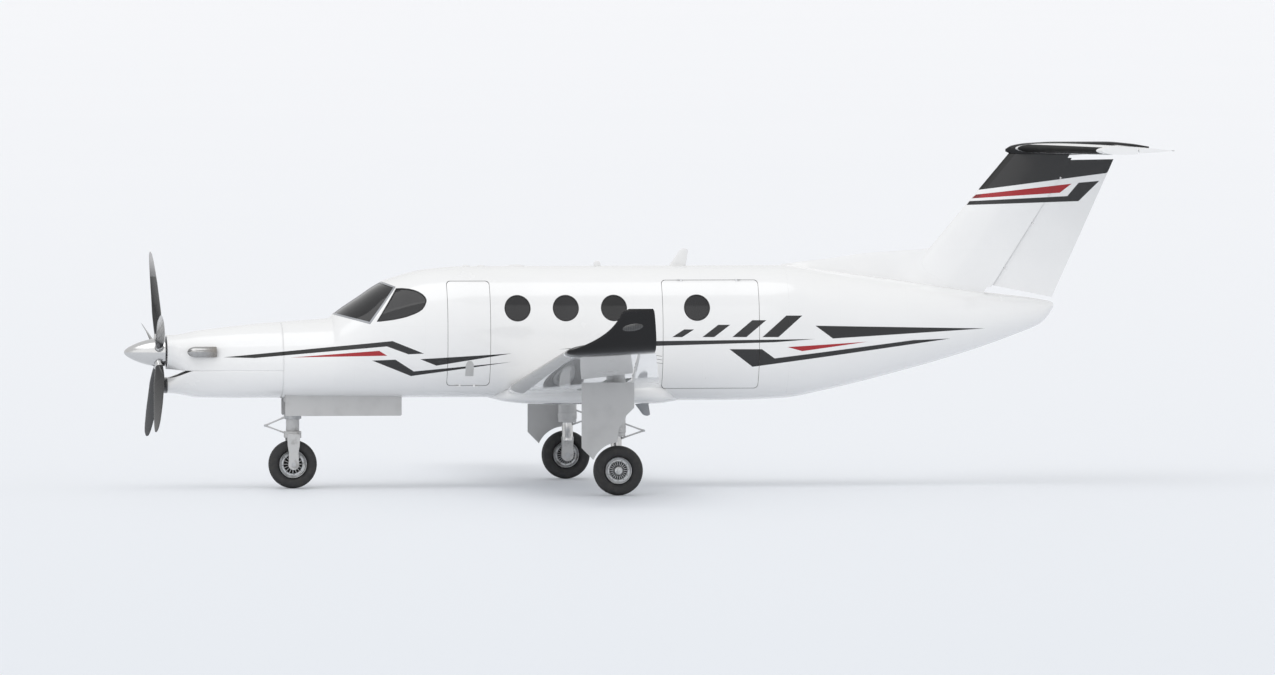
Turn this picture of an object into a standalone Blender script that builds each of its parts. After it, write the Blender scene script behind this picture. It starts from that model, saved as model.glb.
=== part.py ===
"""A single-engine turboprop plane on its wheels.

X runs aft, Y to the right wing and Z up, in metres. The nose points to -X, the ground is at Z = 0
and the origin lies on the ground under the middle of the plane.
A station is a distance aft of the spinner's tip.
"""

import math

import bmesh
import bpy
import numpy as np
from mathutils import Matrix, Vector

# Driving dimensions

LENGTH = 14.86
NOSE_X = -LENGTH / 2
PROP_Z = 1.960
PROP_RADIUS = 1.442
PROP_STATION = 0.490
SPINNER_RADIUS = 0.205
SPINNER_BASE = 0.580
BLADES = 5
BLADE_LEAN = math.radians(3.9)

COWL_FRONT = 0.605
FIREWALL = 2.250
COWL_WALL = 0.020
COWL_SPLIT = 1.700

CABIN_BACK = 9.500
TAIL_END = 13.453
CABIN_WALL = 0.080
CABIN_BED = 1.580
FLOOR_TOP = 1.620

WING_ROOT_Y, WING_TIP_Y = 0.95, 7.90
WING_ROOT_LE, WING_TIP_LE = 5.455, 5.426
WING_ROOT_CHORD, WING_TIP_CHORD = 2.149, 1.252
WING_ROOT_Z, WING_TIP_Z = 1.454, 2.167
WING_THICKNESS, WING_CAMBER = 0.135, 0.030
WING_SPAR, FLAP_NOSE = 0.795, 0.803
WINGLET_Y = 7.745

TAIL_Z = 4.860
TAIL_HALF_SPAN = 2.600
ELEVATOR_AXIS = 14.335
RUDDER_FOOT, RUDDER_HEAD = (12.525, 2.815), (13.720, 4.700)

NOSE_WHEEL = 2.426
NOSE_TYRE = 0.348
MAIN_WHEEL = 6.745
MAIN_TYRE = 0.3525
MAIN_Y = 3.110
LEG_Y = 2.895

WHEEL_SIDES = 20

GAP = 0.0004
SEAM = 0.006


def at(station):
    return NOSE_X + station


def clear_scene():
    for item in list(bpy.data.objects):
        bpy.data.objects.remove(item, do_unlink=True)


def new_collection(name, hidden):
    made = bpy.data.collections.new(name)
    made.hide_render = hidden
    bpy.context.scene.collection.children.link(made)
    return made


clear_scene()
PARTS = new_collection("turboprop_plane", False)
CUTTERS = new_collection("cutters", True)


def finish(name, colour, roughness, metallic=0.0):
    made = bpy.data.materials.new(name)
    made.use_nodes = True
    shader = made.node_tree.nodes["Principled BSDF"]
    shader.inputs["Base Color"].default_value = (*colour, 1.0)
    shader.inputs["Roughness"].default_value = roughness
    shader.inputs["Metallic"].default_value = metallic
    return made


WHITE = ("white_paint", (0.86, 0.87, 0.88), 0.15)
CHARCOAL = ("charcoal_paint", (0.05, 0.05, 0.055), 0.25)
STEEL = ("polished_steel", (0.62, 0.62, 0.64), 0.18, 1.0)
GEAR = ("gear_paint", (0.55, 0.56, 0.58), 0.40)
RUBBER = ("tyre_rubber", (0.03, 0.03, 0.03), 0.85)
GLASS = ("tinted_glass", (0.05, 0.06, 0.07), 0.05)
CAST = ("engine_metal", (0.30, 0.30, 0.31), 0.55, 0.8)
TRIM = ("cabin_trim", (0.60, 0.56, 0.50), 0.70)
LEATHER = ("seat_leather", (0.45, 0.38, 0.30), 0.55)


def add(name, mesh, look=None, hidden=False):
    """Puts a mesh in the scene as a piece, or as a cutter when it has no look of its own."""
    made = bpy.data.objects.new(name, mesh)
    if look is None or hidden:
        CUTTERS.objects.link(made)
        made.hide_render = True
        made.display_type = "WIRE"
    else:
        PARTS.objects.link(made)
        made.data.materials.append(finish(name + "_" + look[0], *look[1:]))
        made.data.shade_smooth()
        made.data.set_sharp_from_angle(angle=math.radians(35))
    return made


def mesh_from(bm, name):
    bm.normal_update()
    bmesh.ops.recalc_face_normals(bm, faces=bm.faces)
    mesh = bpy.data.meshes.new(name)
    bm.to_mesh(mesh)
    bm.free()
    return mesh


def loft(name, rings, look=None, ring_shaped=False):
    """Joins rings of equally many points by triangles, so that like lofts stay parallel, with closed ends."""
    bm = bmesh.new()
    loops = [[bm.verts.new(point) for point in ring] for ring in rings]
    count = len(loops[0])
    pairs = list(zip(loops, loops[1:]))
    if ring_shaped:
        pairs.append((loops[-1], loops[0]))
    for one, two in pairs:
        for i in range(count):
            j = (i + 1) % count
            bm.faces.new((one[i], one[j], two[j]))
            bm.faces.new((one[i], two[j], two[i]))
    if not ring_shaped:
        bm.faces.new(loops[0][::-1])
        bm.faces.new(loops[-1])
    return add(name, mesh_from(bm, name), look)


def box(name, low, high, look=None, matrix=None):
    """A box between two corners, turned by the matrix afterwards."""
    bm = bmesh.new()
    bmesh.ops.create_cube(bm, size=1.0)
    low, high = Vector(low), Vector(high)
    size = Matrix.Diagonal((*(high - low), 1.0))
    bm.transform((matrix or Matrix()) @ Matrix.Translation((low + high) / 2) @ size)
    return add(name, mesh_from(bm, name), look)


def rod(name, start, end, radius, look=None, sides=16, end_radius=None):
    """A round bar or cone from one point to another."""
    start, end = Vector(start), Vector(end)
    turn = (end - start).to_track_quat("Z", "Y").to_matrix().to_4x4()
    bm = bmesh.new()
    bmesh.ops.create_cone(
        bm,
        cap_ends=True,
        segments=sides,
        radius1=radius,
        radius2=radius if end_radius is None else end_radius,
        depth=(end - start).length,
    )
    bm.transform(Matrix.Translation((start + end) / 2) @ turn)
    return add(name, mesh_from(bm, name), look)


def turned(name, profile, centre, axis, look=None, steps=32, loop=False):
    """A (radius, height) profile turned about an axis through the centre, heights running along the axis."""
    mesh = bpy.data.meshes.new(name)
    edges = [(i, i + 1) for i in range(len(profile) - 1)]
    if loop:
        edges.append((len(profile) - 1, 0))
    mesh.from_pydata([(radius, 0.0, height) for radius, height in profile], edges, [])
    made = bpy.data.objects.new(name, mesh)
    PARTS.objects.link(made)
    screw = made.modifiers.new("screw", "SCREW")
    screw.steps = screw.render_steps = steps
    screw.use_merge_vertices = True
    screw.merge_threshold = 1e-5
    turn = Vector(axis).to_track_quat("Z", "Y").to_matrix().to_4x4()
    made.matrix_world = Matrix.Translation(centre) @ turn
    return baked(made, name, look)


def plate(name, outline, thickness, centre, turn, look=None):
    """A flat outline of the given thickness, whose plane the turn sets."""
    curve = bpy.data.curves.new(name, "CURVE")
    curve.dimensions = "2D"
    curve.fill_mode = "BOTH"
    curve.extrude = thickness / 2
    spline = curve.splines.new("POLY")
    spline.points.add(len(outline) - 1)
    for point, (u, v) in zip(spline.points, outline):
        point.co = (u, v, 0.0, 1.0)
    spline.use_cyclic_u = True
    made = bpy.data.objects.new(name, curve)
    PARTS.objects.link(made)
    made.matrix_world = Matrix.Translation(centre) @ turn
    return baked(made, name, look)


SIDE_VIEW = Matrix.Rotation(math.pi / 2, 4, "X")


def baked(source, name, look):
    """The source's evaluated shape as a closed mesh of its own, in place."""
    bpy.context.view_layer.update()
    graph = bpy.context.evaluated_depsgraph_get()
    mesh = bpy.data.meshes.new_from_object(source.evaluated_get(graph))
    place = source.matrix_world.copy()
    bpy.data.objects.remove(source, do_unlink=True)
    bm = bmesh.new()
    bm.from_mesh(mesh)
    bm.transform(place)
    bmesh.ops.remove_doubles(bm, verts=bm.verts, dist=1e-5)
    return add(name, mesh_from(bm, name), look)


def combine(piece, other, operation):
    step = piece.modifiers.new(operation.lower(), "BOOLEAN")
    step.operation = operation
    step.solver = "EXACT"
    step.object = other
    return piece


def cut(piece, *others):
    for other in others:
        combine(piece, other, "DIFFERENCE")
    return piece


def fuse(piece, *others):
    for other in others:
        combine(piece, other, "UNION")
    return piece


def keep_inside(piece, other):
    return combine(piece, other, "INTERSECT")


def put_origin(piece, point):
    """Moves the piece's origin to a point of its joint's axis and leaves its shape in place."""
    piece.data.transform(Matrix.Translation(-Vector(point)))
    piece.location = point
    return piece


def smooth(*points):
    """A function through (station, value) points, a cubic between each two, with no overshoot."""
    xs, ys = np.array(points).T
    steps = np.diff(xs)
    slopes = np.diff(ys) / steps
    same = slopes[:-1] * slopes[1:] > 0
    mean = 2 * slopes[:-1] * slopes[1:] / np.where(same, slopes[:-1] + slopes[1:], 1.0)
    ends = np.concatenate([slopes[:1], np.where(same, mean, 0.0), slopes[-1:]])

    def value(x):
        x = min(max(x, xs[0]), xs[-1])
        i = min(int(np.searchsorted(xs, x, side="right")) - 1, len(steps) - 1)
        t = (x - xs[i]) / steps[i]
        level = ys[i] * (1 + 2 * t) * (1 - t) ** 2 + ys[i + 1] * t * t * (3 - 2 * t)
        return level + steps[i] * (ends[i] * t * (1 - t) ** 2 - ends[i + 1] * t * t * (1 - t))

    return value


# Fuselage lines

TOP = smooth(
    (0.605, 2.207), (1.069, 2.270), (1.794, 2.354), (2.519, 2.409), (2.954, 2.444), (3.020, 2.512),
    (3.350, 2.740), (3.679, 2.950), (3.969, 3.050), (4.330, 3.135), (4.900, 3.180), (9.500, 3.180),
    (10.130, 3.110), (11.218, 2.970), (12.333, 2.803), (13.402, 2.656), (13.453, 2.630),
)
BOTTOM = smooth(
    (0.605, 1.370), (0.800, 1.333), (1.070, 1.312), (1.650, 1.298), (5.200, 1.300), (7.600, 1.242),
    (8.600, 1.242), (9.500, 1.269), (10.130, 1.383), (11.218, 1.649), (12.240, 1.942),
    (12.962, 2.198), (13.245, 2.317), (13.371, 2.425), (13.453, 2.560),
)
WIDTH = smooth(
    (0.605, 0.300), (1.070, 0.375), (1.800, 0.510), (2.250, 0.585), (2.954, 0.690), (3.600, 0.780),
    (4.300, 0.850), (4.900, 0.880), (9.200, 0.880), (9.900, 0.850), (10.600, 0.760), (11.400, 0.620),
    (12.200, 0.460), (12.900, 0.290), (13.300, 0.150), (13.453, 0.060),
)
SQUARENESS = smooth(
    (0.605, 2.2), (2.954, 2.3), (4.300, 2.6), (9.200, 2.6), (11.000, 2.2), (13.453, 2.0),
)
HULL_POINTS = 24


def oval(width, top, bottom, waist, power, angle):
    """The point of a rounded section at an angle from its top."""
    s, c = math.sin(angle), math.cos(angle)
    y = width * math.copysign(abs(s) ** (2 / power), s)
    z = waist + (top - waist if c > 0 else waist - bottom) * math.copysign(abs(c) ** (2 / power), c)
    return y, z


def waist_at(station):
    return BOTTOM(station) + 0.47 * (TOP(station) - BOTTOM(station))


def hull_ring(station, grow=0.0, bed=None, points=HULL_POINTS):
    """The fuselage section, larger all round by grow, and flat at the bed where one is given."""
    ring = []
    for i in range(points):
        y, z = oval(
            WIDTH(station) + grow,
            TOP(station) + grow,
            BOTTOM(station) - grow,
            waist_at(station),
            SQUARENESS(station),
            2 * math.pi * i / points,
        )
        ring.append((at(station), y, z if bed is None else max(z, bed)))
    return ring


def skin_y(station, z, grow=0.0):
    """Half of the fuselage's width at a height."""
    waist = waist_at(station)
    reach = TOP(station) + grow - waist if z > waist else waist - BOTTOM(station) + grow
    power = SQUARENESS(station)
    return (WIDTH(station) + grow) * max(0.0, 1 - (abs(z - waist) / reach) ** power) ** (1 / power)


CABIN_STATIONS = (
    2.250, 2.600, 2.954, 3.020, 3.350, 3.679, 3.969, 4.330, 4.900, 5.900, 7.600, 8.600, 9.200, CABIN_BACK,
)
ROOM_FRONT, ROOM_BACK = 3.020, 9.420


def hull_solid(name, grow, start=CABIN_STATIONS[0], stop=CABIN_BACK, look=None, bed=None):
    """The cabin's length of hull, from one of its stations to another."""
    inside = [s for s in CABIN_STATIONS if start < s < stop]
    return loft(name, [hull_ring(s, grow, bed) for s in (start, *inside, stop)], look)


def shell_piece(name, outer, inner, opening, look):
    """A piece of skin between two depths under the hull's surface, within the opening's prism."""
    piece = hull_solid(name, outer, look=look)
    rings = [hull_ring(s, inner) for s in CABIN_STATIONS]
    rings[0] = [(x - 0.05, y, z) for x, y, z in rings[0]]
    rings[-1] = [(x + 0.05, y, z) for x, y, z in rings[-1]]
    cut(piece, loft(name + "_inner", rings))
    return keep_inside(piece, opening)


def side_prism(name, outline, near, far):
    """An outline of (station, height) points pushed through from one Y to another."""
    points = [(at(s), z) for s, z in outline]
    return plate(name, points, abs(far - near), (0.0, (near + far) / 2, 0.0), SIDE_VIEW)


def rounded(left, right, low, high, radius, shrink=0.0, steps=4):
    """A rectangle with round corners, smaller all round by shrink."""
    left, right, low, high = left + shrink, right - shrink, low + shrink, high - shrink
    corners = ((right, high, 0.0), (left, high, 0.5), (left, low, 1.0), (right, low, 1.5))
    outline = []
    for x, z, quarter in corners:
        cx = x - radius if x == right else x + radius
        cz = z - radius if z == high else z + radius
        for i in range(steps + 1):
            angle = math.pi * (quarter + 0.5 * i / steps)
            outline.append((cx + radius * math.cos(angle), cz + radius * math.sin(angle)))
    return outline


def grown(outline, by):
    """An outline pushed outwards from its middle by about the given distance."""
    middle = np.mean(outline, axis=0)
    made = []
    for point in outline:
        away = np.array(point) - middle
        made.append(tuple(np.array(point) + by * away / np.linalg.norm(away)))
    return made


# Engine, cowl and propeller


def cowl_ring(station, chin, count=15):
    """The open arc of the upper cowl, or of the chin cowl, as far as the seam between them."""
    share = min(1.0, max(0.0, (station - COWL_FRONT) / 0.45))
    share = share * share * (3 - 2 * share)

    def blend(front, behind):
        return front + (behind - front) * share

    width, waist = WIDTH(station), waist_at(station)
    if chin:
        width, top = blend(0.262, width), blend(1.600, TOP(station))
        waist, bottom = blend(1.487, waist), BOTTOM(station)
        seam = blend(1.594, COWL_SPLIT + 0.012)
    else:
        width, top = blend(0.247, width), TOP(station)
        waist, bottom = blend(PROP_Z, waist), blend(1.713, BOTTOM(station))
        seam = blend(1.720, COWL_SPLIT - 0.012)
    power = blend(2.0, SQUARENESS(station))
    above = seam > waist
    reach = (top - waist if above else waist - bottom)
    corner = math.acos(min(1.0, abs(seam - waist) / reach) ** (power / 2))
    half = corner if above else math.pi - corner
    ring = []
    for i in range(count):
        angle = -half + 2 * half * i / (count - 1)
        if chin:
            angle = half + (2 * math.pi - 2 * half) * i / (count - 1)
        y, z = oval(width, top, bottom, waist, power, angle)
        ring.append((at(station), y, z))
    return ring


COWL_STATIONS = (COWL_FRONT - 0.01, 0.680, 0.760, 0.860, 1.070, 1.400, 1.800, FIREWALL, FIREWALL + 0.01)


def cowl(name, chin):
    bm = bmesh.new()
    rings = [[bm.verts.new(p) for p in cowl_ring(s, chin)] for s in COWL_STATIONS]
    for one, two in zip(rings, rings[1:]):
        for i in range(len(one) - 1):
            bm.faces.new((one[i], two[i], two[i + 1], one[i + 1]))
    bm.normal_update()
    first = bm.faces[:][len(one) // 2]
    outward = first.calc_center_median() - Vector((0.0, 0.0, 1.50 if chin else PROP_Z))
    if first.normal.dot(Vector((0.0, outward.y, outward.z))) < 0:
        bmesh.ops.reverse_faces(bm, faces=bm.faces)
    mesh = bpy.data.meshes.new(name)
    bm.to_mesh(mesh)
    bm.free()
    made = add(name, mesh, WHITE)
    wall = made.modifiers.new("wall", "SOLIDIFY")
    wall.thickness = COWL_WALL
    wall.offset = -1.0
    low, high = (1.0, COWL_SPLIT - 0.0015) if chin else (COWL_SPLIT + 0.0015, 3.0)
    extent = box(name + "_extent", (at(COWL_FRONT), -1, low), (at(FIREWALL - GAP), 1, high))
    return keep_inside(made, extent)


def engine():
    profile = (
        (0.0, 2.2496), (0.150, 2.2496), (0.150, 2.150), (0.240, 2.050), (0.240, 1.250), (0.200, 1.000),
        (0.140, 0.720), (0.060, 0.700), (0.060, SPINNER_BASE + 0.0006), (0.0, SPINNER_BASE + 0.0006),
    )
    turned("engine_block", profile, (NOSE_X, 0, PROP_Z), (1, 0, 0), CAST, steps=20)


def intake():
    """The dark ring round the chin's mouth, butted to the front of the chin cowl."""
    rings = []
    for station, width, high, low in (
        (COWL_FRONT - GAP, 0.262, 1.600, 1.370),
        (0.575, 0.258, 1.597, 1.375),
        (0.553, 0.246, 1.588, 1.389),
        (0.575, 0.234, 1.577, 1.401),
        (COWL_FRONT - GAP, 0.230, 1.574, 1.404),
    ):
        ring = [
            (at(station), *oval(width, high, low, (high + low) / 2, 2.4, 2 * math.pi * i / 20))
            for i in range(20)
        ]
        rings.append(ring)
    loft("intake_lip", rings, CHARCOAL, ring_shaped=True)


def exhausts():
    """One short stack each side, round in front and open behind, seated on the cowl's skin."""
    swell = 1.002
    rings = [
        [(x, y * swell, PROP_Z + (z - PROP_Z) * swell) for x, y, z in cowl_ring(s, False)]
        for s in COWL_STATIONS
    ]
    cowl_solid = loft("cowl_envelope", rings)
    for side, name in ((-1, "exhaust_left"), (1, "exhaust_right")):
        profile = [(0.0, 1.240), (0.062, 1.240), (0.066, 1.295), (0.077, 1.290), (0.077, 1.000)]
        profile += [(0.077 * math.sin(a), 1.000 - 0.129 * math.cos(a)) for a in np.linspace(1.25, 0.0, 4)]
        stack = turned(name, profile, (NOSE_X, side * 0.425, 1.973), (1, 0, 0), STEEL, steps=16)
        cut(stack, cowl_solid)


def propeller():
    shaft = (NOSE_X, 0, PROP_Z)
    outside = [
        (SPINNER_RADIUS, SPINNER_BASE), (0.203, 0.500), (0.192, 0.400), (0.170, 0.300),
        (0.137, 0.200), (0.092, 0.100), (0.052, 0.035), (0.0, 0.0),
    ]
    inside = [
        (0.0, 0.060), (0.062, 0.115), (0.120, 0.210), (0.155, 0.305), (0.178, 0.400),
        (0.190, 0.500), (0.192, SPINNER_BASE),
    ]
    spinner = turned("spinner", outside + inside, shaft, (1, 0, 0), STEEL, steps=28, loop=True)
    hub_profile = (
        (0.0, SPINNER_BASE), (0.1912, SPINNER_BASE), (0.1900, 0.560), (0.120, 0.555),
        (0.120, 0.420), (0.060, 0.380), (0.0, 0.380),
    )
    hub = turned("prop_hub", hub_profile, shaft, (1, 0, 0), CAST, steps=28)
    centre = Vector((at(PROP_STATION), 0, PROP_Z))
    put_origin(hub, centre)
    for i in range(BLADES):
        angle = BLADE_LEAN + 2 * math.pi * i / BLADES
        turn = Matrix.Translation(centre) @ Matrix.Rotation(-angle, 4, "X")
        hole = rod(f"cuff_hole_{i}", turn @ Vector((0, 0, 0.130)), turn @ Vector((0, 0, 0.300)), 0.066)
        cut(spinner, hole)
        rings = [[turn @ p for p in ring] for ring in blade_rings()]
        blade = loft(f"prop_blade_{i + 1}", rings, CHARCOAL)
        put_origin(blade, centre)
    put_origin(spinner, centre)


def blade_rings():
    """Sections along a blade that points up: a round shank, then thinner, twisted and swept forward."""
    rings = []
    for reach, chord, thick, pitch, forward in (
        (0.1201, 0.090, 0.090, 62, 0.0),
        (0.2350, 0.105, 0.092, 60, 0.0),
        (0.3600, 0.150, 0.060, 54, 0.004),
        (0.6000, 0.200, 0.030, 45, 0.020),
        (0.9500, 0.205, 0.018, 36, 0.050),
        (1.2500, 0.170, 0.012, 31, 0.080),
        (1.4000, 0.110, 0.009, 29, 0.097),
        (PROP_RADIUS, 0.040, 0.006, 28, 0.102),
    ):
        pitch = math.radians(pitch)
        ring = []
        for i in range(10):
            angle = 2 * math.pi * i / 10
            along, off = 0.5 * chord * math.cos(angle), 0.5 * thick * math.sin(angle)
            x = along * math.sin(pitch) + off * math.cos(pitch) - forward
            y = along * math.cos(pitch) - off * math.sin(pitch)
            ring.append(Vector((x, y, reach)))
        rings.append(ring)
    return rings


# Cabin

ENTRY = (4.570, 5.190, 1.483, 2.985, 0.055)
CARGO = (7.670, 9.070, 1.430, 2.990, 0.055)
WINDOW_Z, WINDOW_RADIUS = 2.595, 0.189
LEFT_WINDOWS = (5.577, 6.273, 6.968)
RIGHT_WINDOWS = (4.880, 5.577, 6.273, 6.968, 8.167)
CARGO_WINDOW = 8.167
BAY = (2.290, 3.970, 0.300, 1.545)
DOOR_WALL = 0.070


def windscreen_outline(grow):
    foot, heel, shoulder = (2.985, 2.500), (3.470, 2.370), (3.860, 2.900)
    crown, over, front = (3.679, 2.975), (3.500, 3.150), (2.800, 2.600)
    return grown([foot, heel, shoulder, crown, over, front], grow)


def side_window_outline(grow):
    """The cockpit's side window: a slanted front edge and a round back."""
    outline = [
        (3.560, 2.405), (3.860, 2.880), (4.040, 2.876), (4.170, 2.836), (4.262, 2.760), (4.275, 2.690),
        (4.215, 2.580), (4.090, 2.510), (3.880, 2.447), (3.700, 2.418),
    ]
    return grown(outline, grow)


def disc_outline(station, radius, sides=14):
    angles = [2 * math.pi * i / sides for i in range(sides)]
    return [(station + radius * math.cos(a), WINDOW_Z + radius * math.sin(a)) for a in angles]


def hinge_lugs(name, stations, low, high):
    """Small blocks along a door's hinge, fused to the door or to the frame."""
    made = []
    for i, station in enumerate(stations):
        one, two = (at(station), *low), (at(station) + 0.040, *high)
        corners = np.sort([one, two], axis=0)
        made.append(box(f"{name}_{i}", corners[0].tolist(), corners[1].tolist()))
    return made


def door_axis(opening, top):
    """The hinge axis of a side door as (y, z), just outside the skin at the edge of its opening."""
    middle = (opening[0] + opening[1]) / 2
    edge = opening[3] if top else opening[2]
    return -(skin_y(middle, edge) + 0.022), edge + (0.0085 if top else -0.0085)


def cabin():
    shell = hull_solid("cabin_shell", 0.0, look=WHITE)
    room = hull_solid("room", -CABIN_WALL, ROOM_FRONT, ROOM_BACK, bed=CABIN_BED)
    start, stop, half, high = BAY
    bay = box("nose_bay", (at(start), -half, 0.9), (at(stop), half, high))
    screen = side_prism("windscreen_opening", windscreen_outline(0.0), -1.0, 1.0)
    cut(shell, room, bay, screen)
    for side in (-1, 1):
        outline = side_window_outline(0.0)
        cut(shell, side_prism(f"side_window_opening_{side}", outline, side * 0.2, side * 1.2))
    for station in RIGHT_WINDOWS:
        cut(shell, side_prism("window_hole", disc_outline(station, WINDOW_RADIUS), 0.3, 1.2))
    for station in LEFT_WINDOWS:
        cut(shell, side_prism("window_hole", disc_outline(station, WINDOW_RADIUS), -0.3, -1.2))
    for opening in (ENTRY, CARGO):
        cut(shell, side_prism("door_opening", rounded(*opening), -0.2, -1.2))
    y, z = door_axis(ENTRY, False)
    fuse(shell, *hinge_lugs("sill_lug", (4.700, 4.990), (y - 0.008, z - 0.008), (y + 0.045, z + 0.008)))
    y, z = door_axis(CARGO, True)
    low, high = (y - 0.008, z - 0.008), (y + 0.045, z + 0.008)
    fuse(shell, *hinge_lugs("header_lug", (7.900, 8.780), low, high))


def glazing():
    screen = side_prism("windscreen_pane", windscreen_outline(-GAP), -1.0, 1.0)
    shell_piece("windshield", -0.003, -0.030, screen, GLASS)
    for side, name in ((-1, "left"), (1, "right")):
        pane = side_prism(f"side_pane_{name}", side_window_outline(-0.001), side * 0.2, side * 1.2)
        shell_piece(f"cockpit_side_window_{name}", -0.003, -0.030, pane, GLASS)
    for side, stations, name in ((-1, LEFT_WINDOWS, "left"), (1, RIGHT_WINDOWS, "right")):
        belt = rounded(stations[0] - 0.26, stations[-1] + 0.26, WINDOW_Z - 0.235, WINDOW_Z + 0.235, 0.10)
        prism = side_prism(f"belt_{name}", belt, side * 0.3, side * 1.2)
        piece = shell_piece(f"cabin_windows_{name}", -CABIN_WALL - 0.0009, -CABIN_WALL - 0.009, prism, TRIM)
        for station in stations:
            plug = side_prism("plug", disc_outline(station, WINDOW_RADIUS - 0.0008), side * 0.3, side * 1.2)
            fuse(piece, shell_piece(f"plug_{name}_{station}", -0.004, -CABIN_WALL - 0.005, plug, None))
        for station in stations:
            bore = side_prism("bore", disc_outline(station, WINDOW_RADIUS - 0.020), side * 0.3, side * 1.2)
            room = shell_piece(f"bore_{name}_{station}", -0.016, -0.300, bore, None)
            cut(piece, room)


def doors():
    y, z = door_axis(ENTRY, False)
    leaf = side_prism("entry_leaf", rounded(*ENTRY, shrink=SEAM), -0.2, -1.2)
    entry = shell_piece("entry_door", 0.0, -DOOR_WALL, leaf, WHITE)
    lugs = hinge_lugs("entry_lug", (4.7405, 4.9495), (y - 0.008, z - 0.008), (y + 0.008, z + 0.070))
    fuse(entry, *lugs)
    pivot = (at(ENTRY[0]), y, z)
    put_origin(entry, pivot)
    steps = []
    for i, height in enumerate((1.75, 2.03, 2.31, 2.59)):
        depth = skin_y(4.9, height) - DOOR_WALL - 0.0006
        low, high = (at(4.66), -depth, height - 0.012), (at(5.10), -depth + 0.17, height + 0.012)
        steps.append(box(f"tread_{i}", low, high))
    rails = []
    for station in (4.665, 5.065):
        rail = [(at(station), -skin_y(4.9, h) + DOOR_WALL + 0.034, h) for h in (1.70, 1.95, 2.2, 2.45, 2.66)]
        for i, (start, end) in enumerate(zip(rail, rail[1:])):
            high = (start[0] + 0.03, 0.030, (Vector(end) - Vector(start)).length + 0.01)
            low = (start[0], -0.030, 0.0)
            rails.append(box(f"stringer_{station}_{i}", low, high, matrix=beam(start, end)))
    back = DOOR_WALL - skin_y(4.9, 1.75)
    ladder = box("entry_door_steps", (at(4.665), back + 0.004, 1.745), (at(5.095), back + 0.1, 1.755), GEAR)
    fuse(ladder, *steps, *rails)
    cut(ladder, skin_keeper("step_keeper", 4.5, 5.25))
    put_origin(ladder, pivot)
    y, z = door_axis(CARGO, True)
    leaf = side_prism("cargo_leaf", rounded(*CARGO, shrink=SEAM), -0.2, -1.2)
    cargo = shell_piece("cargo_door", 0.0, -DOOR_WALL, leaf, WHITE)
    fuse(cargo, *hinge_lugs("cargo_lug", (7.9405, 8.7395), (y - 0.008, z - 0.070), (y + 0.008, z + 0.008)))
    cut(cargo, side_prism("cargo_window_hole", disc_outline(CARGO_WINDOW, WINDOW_RADIUS), -0.3, -1.2))
    pivot = (at(CARGO[0]), y, z)
    put_origin(cargo, pivot)
    pane = side_prism("cargo_pane", disc_outline(CARGO_WINDOW, WINDOW_RADIUS - 0.0008), -0.3, -1.2)
    put_origin(shell_piece("cargo_door_window", -0.004, -0.016, pane, GLASS), pivot)


def beam(start, end):
    """A frame whose Z runs from start to end and whose X stays level, without a shift along X."""
    start, end = Vector(start), Vector(end)
    along = (end - start).normalized()
    turn = Matrix((Vector((1, 0, 0)), along.cross(Vector((1, 0, 0))), along)).transposed().to_4x4()
    return Matrix.Translation((0, start.y, start.z)) @ turn


def skin_keeper(name, start, stop):
    """What lies outside the inner face of a door, as a cutter."""
    keeper = box(name, (at(start), -1.3, 1.2), (at(stop), -0.1, 3.4))
    cut(keeper, hull_solid(name + "_inside", -DOOR_WALL - 0.0006))
    return keeper


def furnishing():
    floor_low, floor_high = CABIN_BED + GAP, FLOOR_TOP
    rings = []
    for station, half in ((3.10, 0.42), (4.30, 0.53), (4.90, 0.565), (9.38, 0.565)):
        x = at(station)
        low = [(x, -half, floor_low), (x, half, floor_low)]
        rings.append([*low, (x, half, floor_high), (x, -half, floor_high)])
    loft("cabin_floor", rings, TRIM)
    panel = box("instrument_panel", (at(3.270), -0.500, 1.900), (at(3.380), 0.500, 2.370), CHARCOAL)
    fuse(panel, box("pedestal", (at(3.290), -0.130, FLOOR_TOP + GAP), (at(3.620), 0.130, 1.960)))
    seat = (
        (0.00, 0.0), (0.06, 0.16), (-0.06, 0.22), (-0.06, 0.36), (0.38, 0.34), (0.46, 0.90),
        (0.58, 0.92), (0.62, 0.86), (0.54, 0.30), (0.44, 0.16), (0.42, 0.0),
    )
    for side, name in ((-1, "crew_seat_left"), (1, "crew_seat_right")):
        outline = [(at(3.86) + x, FLOOR_TOP + GAP + z) for x, z in seat]
        plate(name, outline, 0.44, (0, side * 0.330, 0), SIDE_VIEW, LEATHER)
    rows = box(
        "passenger_seats",
        (at(5.35), -0.035, FLOOR_TOP + GAP), (at(7.75), 0.035, FLOOR_TOP + 0.030), LEATHER,
    )
    for i, station in enumerate((5.45, 6.25, 7.05)):
        low = (at(station + 0.05), -0.45, FLOOR_TOP + GAP)
        high = (at(station + 0.37), 0.45, FLOOR_TOP + 0.030)
        fuse(rows, box(f"seat_tie_{i}", low, high))
        for side in (-1, 1):
            outline = [(at(station) + x, FLOOR_TOP + 0.005 + z) for x, z in seat]
            fuse(rows, plate(f"seat_{i}_{side}", outline, 0.44, (0, side * 0.330, 0), SIDE_VIEW))


CONE_STATIONS = (9.800, 10.130, 10.800, 11.500, 12.200, 12.800, 13.150, 13.330, 13.420, TAIL_END)


def tail_cone():
    """The hollow cone behind the rear bulkhead, open towards it."""
    cone = loft("tail_cone", [hull_ring(s, points=20) for s in (CABIN_BACK + GAP, *CONE_STATIONS)], WHITE)
    hollow = (CABIN_BACK - 0.05, *CONE_STATIONS[:5], 12.600)
    cut(cone, loft("cone_hollow", [hull_ring(s, -0.060, points=20) for s in hollow]))


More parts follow.
